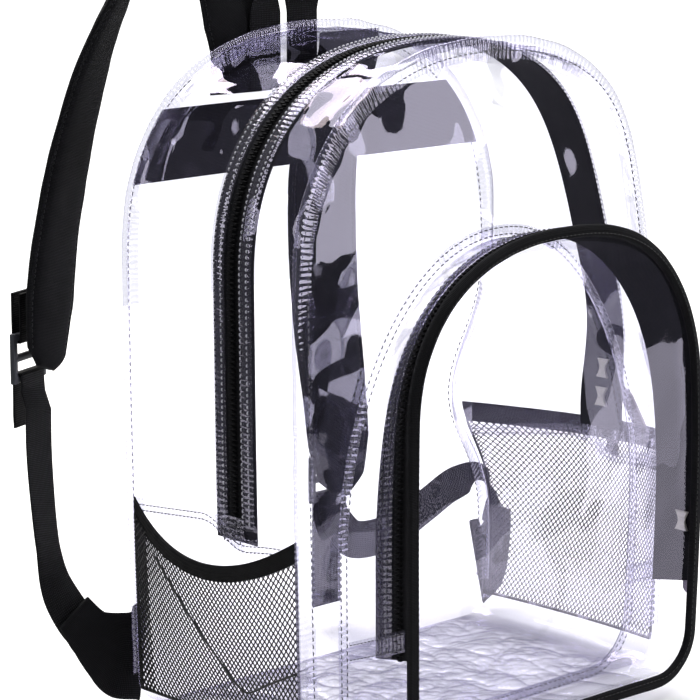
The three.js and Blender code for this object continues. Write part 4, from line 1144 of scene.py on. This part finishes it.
# Each padded strap's stations: across in half body widths, behind in bows, drop in full drops,
# turn and tip in degrees, then shares of the strap's width and thickness
STRAP_STATIONS = {
    "left": [
        (-0.35, 0, 0.15, 0, 6, 0.92, 0.33),
        (-0.35, 0, 0, 0, 8, 0.92, 0.33),
        (-0.39, 0.01, -0.11, 4, 12, 0.96, 0.36),
        (-0.46, 0.11, -0.25, 22, 16, 1, 0.8),
        (-0.57, 0.36, -0.34, 40, 10, 1, 1),
        (-0.71, 0.64, -0.29, 40, 10, 1, 1),
        (-0.82, 0.82, -0.12, 32, 14, 1, 1),
        (-0.92, 0.93, 0.09, 26, 14, 1, 1),
        (-1.01, 1, 0.34, 24, 12, 1, 1),
        (-1.09, 0.98, 0.59, 24, 9, 1, 1),
        (-1.15, 0.89, 0.8, 22, 6, 0.96, 0.95),
        (-1.19, 0.8, 0.95, 20, 4, 0.72, 0.8),
        (-1.21, 0.75, 1, 20, 4, 0.34, 0.5),
    ],
    "right": [
        (0.24, -0.04, -0.015, 0, -4, 0.92, 0.33),
        (0.24, -0.02, 0.03, 0, -4, 0.94, 0.4),
        (0.24, 0.1, 0.07, 0, -2, 1, 0.8),
        (0.24, 0.3, 0.13, 0, 0, 1, 1),
        (0.26, 0.52, 0.22, -2, 0, 1, 1),
        (0.27, 0.64, 0.31, -4, 0, 1, 1),
        (0.28, 0.68, 0.42, -4, 0, 1, 1),
        (0.285, 0.66, 0.53, -4, 0, 1, 1),
        (0.3, 0.62, 0.66, -3, 0, 1, 1),
        (0.32, 0.57, 0.78, 0, 0, 1, 1),
        (0.33, 0.51, 0.89, 0, 0, 0.96, 0.95),
        (0.335, 0.47, 0.97, 0, 0, 0.72, 0.8),
        (0.335, 0.45, 1, 0, 0, 0.34, 0.5),
    ],
}

# The webbing's way from its lock to its tab: along as a share, then aside, behind and lift in bows,
# turn and tip in degrees
WEBBING_STATIONS = {
    "left": [
        (0.07, -0.03, -0.1, 0, 20, 0),
        (0.22, -0.44, -0.22, 0, 20, 2),
        (0.41, -0.8, -0.3, 0, 22, 6),
        (0.6, -0.97, -0.23, 0, 24, 14),
        (0.75, -0.93, -0.12, 0, 16, 32),
        (0.89, -0.59, -0.14, 0, 0, 42),
        (1, 0, 0, 0, 0, 46),
    ],
    "right": [
        (0.02, 0, 0, -0.38, 0, 14),
        (0.14, 0, 0.08, -0.93, 0, 58),
        (0.4, 0.02, 0.31, -0.57, 0, 88),
        (0.65, 0.03, 0.58, 0.38, 0, 102),
        (0.86, 0, 0.74, 1.23, 0, 112),
        (0.95, 0.42, 0.62, 1.44, 20, 138),
        (0.98, 0.52, 0.31, 0.78, 20, 148),
        (1, 0, 0, 0, 0, 134),
    ],
}
WEBBING_ENDS = {"left": (-1.2, 0.1, 0.74), "right": (1.12, 0.6, 0.87)}

# Corner tabs: across in half body widths, behind in stand-offs, height in tab heights, tip, width
TAB_STATIONS = {
    "left": [
        (-0.97, 0, 0.55, 90, 1),
        (-1.07, 0, 0.58, 86, 0.9),
        (-1.15, 0.05, 0.69, 70, 0.7),
        (-1.23, 0.19, 0.85, 52, 0.5),
        (-1.3, 0.4, 1.08, 42, 0.42),
    ],
    "right": [
        (0.97, 0, 0.55, 90, 1),
        (1.05, 0.05, 0.6, 94, 0.88),
        (1.1, 0.29, 0.73, 112, 0.66),
        (1.14, 0.6, 0.87, 128, 0.5),
        (1.17, 1, 1.06, 138, 0.42),
    ],
}
LOCK_CLEAR = LOCK_THICKNESS / 2 + LOCK_CLEARANCE + WEBBING_THICKNESS / 2
TAB_REAR = HALF_DEPTH + GAP * 2 + TAB_THICKNESS / 2

# Half of a padded strap's section: a thin bound edge, a stitched valley, then the foam's crown
PAD_HALF = [
    (1.0, 0.0),
    (0.995, 0.22),
    (0.96, 0.36),
    (0.89, 0.38),
    (0.86, 0.3),
    (0.82, 0.52),
    (0.7, 0.84),
    (0.45, 0.97),
    (0.15, 1.0),
]
PAD_PROFILE = (
    PAD_HALF
    + [(-u, v) for u, v in PAD_HALF[::-1]]
    + [(-u, -v) for u, v in PAD_HALF[1:]]
    + [(u, -v) for u, v in PAD_HALF[:0:-1]]
)
FLAT_PROFILE = [(1, 0), (0.97, 0.7), (0.9, 1), (0.5, 1), (0, 1), (-0.5, 1), (-0.9, 1), (-0.97, 0.7)]
FLAT_PROFILE += [(-u, -v) for u, v in FLAT_PROFILE]


def strap_stations(name):
    table = np.array(STRAP_STATIONS[name], float)
    x = table[:, 0] * HALF_WIDTH
    y = STRAP_REAR + table[:, 1] * STRAP_BOW
    z = ROOT_FOOT - table[:, 2] * STRAP_DROPS[name]
    return np.stack([x, y, z], -1), table


def make_strap(name):
    centres, table = strap_stations(name)
    shares = np.linspace(0, 1, 160)
    path, wide = run_through(centres, table[:, 3], table[:, 4], shares)
    stations = np.linspace(0, 1, len(table))
    widths = np.interp(shares, stations, table[:, 5]) * STRAP_WIDTH
    thick = np.interp(shares, stations, table[:, 6]) * STRAP_THICKNESS
    sections = swept(path, wide, widths, thick, PAD_PROFILE)
    soft = waves(sections, 34, 101) * 0.35 + waves(sections, 12, 102) * 0.12
    _, square, normal = frames_along(path, wide)
    sections += normal[:, None] * (soft * np.sign(np.array(PAD_PROFILE)[:, 1]))[..., None] * 0.8
    node = (f"shoulder_strap_{name}",)
    strap = make_sweep(f"padded_strap_{name}", sections, POLYESTER, stands_for=node, slot="black_fabric")
    rows = []
    keep = slice(14, 150)
    for side in (-1, 1):
        for face in (-1, 1):
            aside = square * (side * 0.86 * widths / 2)[:, None]
            line = path + aside + normal * (face * 0.34 * thick / 2)[:, None]
            rows.append(stitch_row(line[keep], normal[keep] * face, pitch=3.2, length=2.3, radius=0.3))
    make_stitches(f"strap_stitches_{name}", rows, BLACK_THREAD, slot="black_fabric")


def lock_frame(name):
    """Where a ladder lock stands behind the lower end of its strap."""
    centres, table = strap_stations(name)
    seat, end = smooth_curve(centres, np.array([LOCK_SEAT, 1.0]))
    turn = math.radians(table[-1, 3])
    wide = np.array([math.cos(turn), math.sin(turn), 0])
    up = np.array([0.0, 0, 1])
    rear = np.cross(up, wide)
    clear = STRAP_THICKNESS / 2 + GAP + WEBBING_THICKNESS / 2 + LOCK_CLEAR
    origin = end + up * LOCK_RISE + rear * ((seat - end) @ rear + clear)
    return origin, wide, up, rear


def make_webbing_strap(path, wide, piece, node):
    size = np.full(len(path), float(WEBBING_WIDTH))
    thick = np.full(len(path), float(WEBBING_THICKNESS))
    sections = swept(path, wide, size, thick, FLAT_PROFILE)
    return make_sweep(piece, sections, WEBBING, sharp=60, stands_for=(node,), slot="black_webbing")


def make_lock(name):
    origin, wide, up, rear = lock_frame(name)
    bar_offset = (LOCK_HEIGHT - LOCK_BAR) / 2

    def beside(height, back):
        return origin + up * height + rear * back

    def round_bar(height, way):
        away = LOCK_CLEARANCE + WEBBING_THICKNESS / 2
        points = []
        for side, start in ((1, 0), (-1, math.pi / 2)):
            for angle in np.linspace(start, start + math.pi / 2, 6):
                lift = height + way * (LOCK_BAR / 2 + away * math.sin(angle))
                points.append(beside(lift, side * LOCK_THICKNESS / 2 + away * math.cos(angle)))
        return points

    top = bar_offset + LOCK_LOOP_REACH
    loop = np.array([beside(top, LOCK_CLEAR), *round_bar(bar_offset, -1), beside(top, -LOCK_CLEAR)])
    make_webbing_strap(loop, np.tile(wide, (len(loop), 1)), f"fixed_loop_{name}", f"lock_loop_{name}")
    exit_point = beside(-bar_offset - 2 * LOCK_BAR, -LOCK_CLEAR)
    across, behind, height = WEBBING_ENDS[name]
    end = np.array([across * HALF_WIDTH, TAB_REAR + behind * TAB_STAND_OFF + LOCK_CLEAR, height * TAB_HEIGHT])
    table = np.array(WEBBING_STATIONS[name], float)
    centres = exit_point + (end - exit_point) * table[:, :1] + table[:, 1:4] * WEBBING_BOW
    shares = np.linspace(0, 1, 90)
    run, run_wide = run_through(centres, table[:, 4], table[:, 5], shares)
    start = np.array([
        beside(-bar_offset - TAIL_LENGTHS[name], LOCK_CLEAR),
        beside(-bar_offset - TAIL_LENGTHS[name] * 0.75, LOCK_CLEAR + 0.4),
        beside(-bar_offset - TAIL_LENGTHS[name] * 0.4, LOCK_CLEAR + 0.2),
        *round_bar(-bar_offset, 1),
        beside(-bar_offset - LOCK_BAR, -LOCK_CLEAR),
        exit_point,
    ])
    path = np.concatenate([start, run])
    path_wide = np.concatenate([np.tile(wide, (len(start), 1)), run_wide])
    make_webbing_strap(path, path_wide, f"adjuster_webbing_{name}", f"webbing_{name}")
    make_lock_body(name, origin, wide, up, rear)


def make_lock_body(name, origin, wide, up, rear):
    """A moulded frame with a bar across its middle, all with rounded edges."""
    half, tall = LOCK_WIDTH / 2, LOCK_HEIGHT / 2
    thick = LOCK_THICKNESS
    turn = np.linspace(0, 2 * np.pi, 16, endpoint=False)
    rim = np.stack([
        np.sign(np.cos(turn)) * np.abs(np.cos(turn)) ** 0.5,
        np.sign(np.sin(turn)) * np.abs(np.sin(turn)) ** 0.5,
    ], -1)
    points, faces = [], []

    def bar(start, end, bulge=0.0):
        along = unit(end - start)
        side = np.cross(along, rear)
        first = len(points)
        steps = np.linspace(0, 1, 9)
        for share in steps:
            centre = start + (end - start) * share
            swell = 1 + bulge * math.sin(math.pi * share)
            for u, v in rim:
                points.append(centre + side * u * LOCK_BAR / 2 * swell + rear * v * thick / 2)
        size = len(rim)
        for i in range(len(steps) - 1):
            for j in range(size):
                k = (j + 1) % size
                a, b = first + i * size, first + (i + 1) * size
                faces.append((a + j, a + k, b + k, b + j))
        faces.append(tuple(first + j for j in reversed(range(size))))
        faces.append(tuple(first + (len(steps) - 1) * size + j for j in range(size)))

    inner = tall - LOCK_BAR / 2
    side_x = half - LOCK_BAR / 2
    for way in (-1, 1):
        upright = origin + wide * way * side_x
        bar(upright - up * tall, upright + up * tall, bulge=0.08)
        level = origin + up * way * inner
        bar(level - wide * half * 0.96, level + wide * half * 0.96)
    bar(origin - wide * side_x, origin + wide * side_x)
    node = (f"ladder_lock_{name}",)
    to_mesh(f"lock_frame_{name}", points, faces, ACETAL, sharp=45, stands_for=node, slot="grey_plastic")


def make_tab(name):
    table = np.array(TAB_STATIONS[name], float)
    centres = np.stack([
        table[:, 0] * HALF_WIDTH,
        TAB_REAR + table[:, 1] * TAB_STAND_OFF,
        table[:, 2] * TAB_HEIGHT,
    ], -1)
    shares = np.linspace(0, 1, 40)
    path, wide = run_through(centres, np.zeros(len(table)), table[:, 3], shares)
    widths = np.interp(shares, np.linspace(0, 1, len(table)), table[:, 4]) * TAB_HEIGHT
    thick = np.full(len(shares), float(TAB_THICKNESS))
    sections = swept(path, wide, widths, thick, FLAT_PROFILE)
    node = (f"corner_tab_{name}",)
    piece = f"strap_anchor_{name}"
    make_sweep(piece, sections, POLYESTER, sharp=60, stands_for=node, slot="black_fabric")


# The haul loop's stations: across in its spread, up in its height, and turn about the way back
LOOP_STATIONS = [
    (-0.5, -0.68, 0),
    (-0.5, 0.2, 0),
    (-0.49, 0.5, 22),
    (-0.38, 0.8, 55),
    (0, 1, 90),
    (0.38, 0.8, 125),
    (0.49, 0.5, 158),
    (0.5, 0.2, 180),
    (0.5, -0.68, 180),
]


def make_haul_loop():
    table = np.array(LOOP_STATIONS, float)
    x = LOOP_CENTRE + table[:, 0] * LOOP_SPREAD
    z = BODY_HEIGHT + table[:, 1] * LOOP_HEIGHT
    centres = np.stack([x, np.full(len(x), LOOP_REAR), z], -1)
    path, wide = run_through(centres, table[:, 2], np.zeros(len(table)), np.linspace(0, 1, 90))
    make_webbing_strap(path, wide, "haul_loop_webbing", "haul_loop")


def make_yoke():
    top = BODY_HEIGHT - YOKE_DROP
    z = np.linspace(top - YOKE_HEIGHT, top, 26)
    share = np.maximum(0, (z - (BODY_HEIGHT - ARCH_RISE)) / ARCH_RISE)
    reach = HALF_WIDTH * (1 - share**ARCH_POWER) ** (1 / ARCH_POWER) - YOKE_INSET
    across = np.linspace(-1, 1, 120)
    flat = np.stack(np.broadcast_arrays(across[:, None] * reach[None], HALF_DEPTH, z[None]), -1)
    base = settle(flat)
    wave = waves(base, 30, 111) * 0.3
    outer, inner = base.copy(), base.copy()
    outer[..., 1] += GAP + YOKE_THICKNESS + np.abs(wave)
    inner[..., 1] += GAP
    make_wall("yoke_band", outer, inner, POLYESTER, stands_for=("back_yoke",), slot="black_fabric")
    rows = []
    for j in (1, -2):
        line = outer[:, j] + np.array([0, 0.1, 0])
        rows.append(stitch_row(line, np.tile([0.0, 1, 0], (len(line), 1)), length=2.4, radius=0.3))
    make_stitches("yoke_stitches", rows, BLACK_THREAD, slot="black_fabric")


# Sliders and pulls

# A slider's half length, half width at its waist, and how far its ends flare past that
SLIDER_HALF = 6
SLIDER_WAIST = 2.5
SLIDER_FLARE = 2.2

# A pull's half width, and the middle of its round end
PULL_HALF = 4.5
PULL_END = 43.5

# Plates of a slider and of its pull: height, and inset from the outline
SLIDER_TOP = [(0, 0.5), (0.3, 0), (1.2, 0), (1.6, 0.45), (2.4, 0), (3.0, 0.1), (3.3, 0.9)]
SLIDER_UNDER = [(-5.7, 0.8), (-5.4, 0.1), (-4.2, 0), (-3.9, 0.4)]
PULL_PLATE = [(0.1, 0.7), (0.5, 0), (1.2, -0.1), (1.9, 0), (2.3, 0.7)]


def side_frame(surface, s, t, lift):
    s, t = np.array([float(s)]), np.array([float(t)])
    out = facing(surface, s, t)[0]
    along = unit(surface(s + 0.5, t) - surface(s - 0.5, t))[0]
    wide = unit(np.cross(along, out))
    return surface(s, t)[0] + out * lift, wide, along, out


def plate(outline, section):
    """Rings of an outline at a section's heights, drawn in towards its middle by its insets."""
    outline = np.asarray(outline, float)
    middle = outline.mean(axis=0)
    rings = []
    for height, inset in section:
        away = outline - middle
        size = np.linalg.norm(away, axis=1, keepdims=True)
        ring = middle + away * np.maximum(0.05, (size - inset) / size)
        rings.append(np.concatenate([ring, np.full((len(ring), 1), height)], axis=1))
    return np.stack(rings)


def place_in(points, origin, wide, along, out):
    points = np.asarray(points, float)
    return origin + points[..., :1] * wide + points[..., 1:2] * along + points[..., 2:3] * out


def slider_outline():
    """Hourglass body: wide shoulders, a drawn-in waist and a flared mouth."""
    y = np.linspace(-SLIDER_HALF, SLIDER_HALF, 13)
    half = SLIDER_WAIST + SLIDER_FLARE * (np.abs(y) / SLIDER_HALF) ** 1.5
    right = np.stack([half, y], -1)
    left = np.stack([-half, y], -1)[::-1]
    return np.concatenate([right, left])


def pull_outline():
    """A long tab with a round end and a narrow neck."""
    turn = np.linspace(0, np.pi, 9)
    foot = np.stack([PULL_HALF * np.cos(turn), PULL_END + PULL_HALF * np.sin(turn)], -1)
    neck = [(-PULL_HALF, 21), (-3.6, 17.4), (-1.8, 16), (1.8, 16), (3.6, 17.4), (PULL_HALF, 21)]
    return np.concatenate([foot, neck])


# A pull's cord in its tab's own directions: aside, along and out
PULL_CORD = [
    (-1.1, 18, 1.2),
    (-1.2, 10, 1.2),
    (-1.1, 3, 1.0),
    (0, 0.6, 0.9),
    (1.1, 3, 1.0),
    (1.2, 10, 1.2),
    (1.1, 18, 1.2),
]


def make_slider(name, pull_name, surface, s, t, splay, tilt):
    lift = -SHEET + COIL_HEIGHT + GAP
    origin, wide, along, out = side_frame(surface, s, t, lift)
    body = plate(slider_outline(), SLIDER_TOP)
    body = place_in(body, origin, wide, along, out)
    make_sweep(name + "_body", body, ZINC, sharp=40, stands_for=(name,), slot="slider")
    inner = plate(slider_outline(), SLIDER_UNDER)
    make_sweep(name + "_inner", place_in(inner, origin, wide, along, out), ZINC, sharp=40, slot="slider")
    turn = np.linspace(0, np.pi, 12)
    bridge = np.stack([np.zeros(12), 3.6 * np.cos(turn), 2.8 + 1.5 * np.sin(turn)], -1)
    bridge = round_cord(place_in(bridge, origin, wide, along, out), 0.8)
    make_sweep(name + "_bridge", bridge, ZINC, slot="slider")
    lean, swing = math.radians(tilt), math.radians(splay)
    hang = origin + out * 4.3
    turned_wide = wide * math.cos(swing) + along * math.sin(swing)
    turned_along = -wide * math.sin(swing) + along * math.cos(swing)
    tilted_along = turned_along * math.cos(lean) + out * math.sin(lean)
    tilted_out = -turned_along * math.sin(lean) + out * math.cos(lean)
    frame_here = (hang, turned_wide, tilted_along, tilted_out)
    tab = plate(pull_outline(), PULL_PLATE)
    tab = place_in(tab, *frame_here)
    make_sweep(pull_name + "_tab", tab, PULL, sharp=50, stands_for=(pull_name,), slot="pull_tab")
    ribs = []
    for place in np.linspace(24, 40, 6):
        for height in (0.25, 2.15):
            rib = np.stack([np.linspace(-3.2, 3.2, 9), np.full(9, place), np.full(9, height)], -1)
            ribs.append(round_cord(place_in(rib, *frame_here), 0.42, 6))
    ribs = np.stack(ribs)
    make_stitches(pull_name + "_grip", [ribs], PULL, slot="pull_tab")
    cord = place_in(smooth_curve(PULL_CORD, np.linspace(0, 1, 40)), *frame_here)
    cord = round_cord(cord, 0.75)
    make_sweep(pull_name + "_cord", cord, WEBBING, slot="pull_tab")


def make_sliders():
    for name, height, splay in zip(("upper", "lower"), SLIDER_HEIGHTS, PULL_SPLAY):
        s = up_side(height, True)
        make_slider(f"main_slider_{name}", f"main_pull_{name}", body_side, s, -ZIP_FORWARD, splay, PULL_LIFT)
    middle = POCKET_GUSSET_END + POCKET_ZIP_OPENING / 2
    s = POCKET_BASE.left(POCKET_SLIDER_HEIGHT)
    make_slider("pocket_slider", "pocket_pull", pocket_side, s, middle, 180, 0)


# Studio


def make_camera():
    azimuth, elevation = math.radians(CAMERA_AZIMUTH), math.radians(CAMERA_ELEVATION)
    target = np.array(CAMERA_TARGET) + BODY_CENTRE
    back = np.array([
        math.sin(azimuth) * math.cos(elevation),
        -math.cos(azimuth) * math.cos(elevation),
        math.sin(elevation),
    ])
    data = bpy.data.cameras.new("camera")
    data.sensor_width = SENSOR_WIDTH
    data.lens = SENSOR_WIDTH * FOCAL_PIXELS / PHOTO_PIXELS
    camera = bpy.data.objects.new("camera", data)
    camera.location = Vector((target + back * CAMERA_DISTANCE) / 1000)
    camera.rotation_mode = "QUATERNION"
    camera.rotation_quaternion = Vector(-back).to_track_quat("-Z", "Y")
    data.clip_end = 60
    bpy.context.scene.collection.objects.link(camera)
    bpy.context.scene.camera = camera


# Each light's place and size in metres, its power in watts and its colour
LIGHTS = [
    ("front right softbox", (1.2, -1.72, 0.7), (0.62, 1.8), 17, "#ffffff"),
    ("top softbox", (0.5, 0.5, 2.2), (2.6, 2.6), 125, "#ffffff"),
    ("rear shoulder softbox", (0.35, 1.5, 1.6), (0.9, 0.8), 10, "#fff3e2"),
    ("low right card", (1.85, -0.95, -0.45), (0.9, 0.7), 4.5, "#ffffff"),
    ("rear left strip", (-1.5, 1.1, 1.1), (0.5, 1.5), 9, "#ffffff"),
]


def make_light(name, place, size, power, colour):
    data = bpy.data.lights.new(name, "AREA")
    data.shape = "RECTANGLE"
    data.size, data.size_y = size
    data.energy = power
    data.color = linear(colour)[:3]
    light = bpy.data.objects.new(name, data)
    light.location = place
    aim = Vector((0, 0, 0.2)) - Vector(place)
    light.rotation_mode = "QUATERNION"
    light.rotation_quaternion = aim.to_track_quat("-Z", "Y")
    bpy.context.scene.collection.objects.link(light)


def make_studio():
    """A pale table top in a white surround.

    Softboxes stand at the front right, overhead and behind the shoulder, with a card low on the
    right and a strip at the rear left.
    """
    front, back = TABLE_FRONT, TABLE_BACK
    floor = bpy.data.meshes.new("floor")
    corners = [(-front, -front, 0), (back, -front, 0), (back, back, 0), (-front, back, 0)]
    floor.from_pydata(corners, [], [(0, 1, 2, 3)])
    material, tree = new_material("pale studio floor")
    finish_with(tree, add(tree, "BsdfDiffuse", {"Color": linear("#f7f7f7")}))
    floor.materials.append(material)
    ground = bpy.data.objects.new("floor", floor)
    bpy.context.scene.collection.objects.link(ground)
    world = bpy.data.worlds.new("studio")
    bpy.context.scene.world = world
    world.use_nodes = True
    tree = world.node_tree
    tree.nodes.clear()
    path = add(tree, "LightPath")
    seen = add(tree, "Background", {"Color": (1, 1, 1, 1), "Strength": 1.45})
    room = add(tree, "Background", {"Color": linear("#e9e9f6"), "Strength": 0.14})
    inputs = {"Fac": path.outputs["Is Camera Ray"], 1: room.outputs[0], 2: seen.outputs[0]}
    mixed = add(tree, "MixShader", inputs)
    tree.links.new(mixed.outputs[0], add(tree, "OutputWorld").inputs["Surface"])
    for light in LIGHTS:
        make_light(*light)
    bpy.context.scene.view_settings.view_transform = "Standard"


make_camera()
make_studio()
make_body_panels()
make_gussets()
make_bottom()
make_bindings()
make_zipper()
make_side_seams()
make_pocket_walls()
make_pocket_zipper()
make_pocket_bands()
make_pocket_face()
make_mesh_pockets()
make_yoke()
for strap_name in ("left", "right"):
    make_strap(strap_name)
    make_lock(strap_name)
    make_tab(strap_name)
make_haul_loop()
make_sliders()
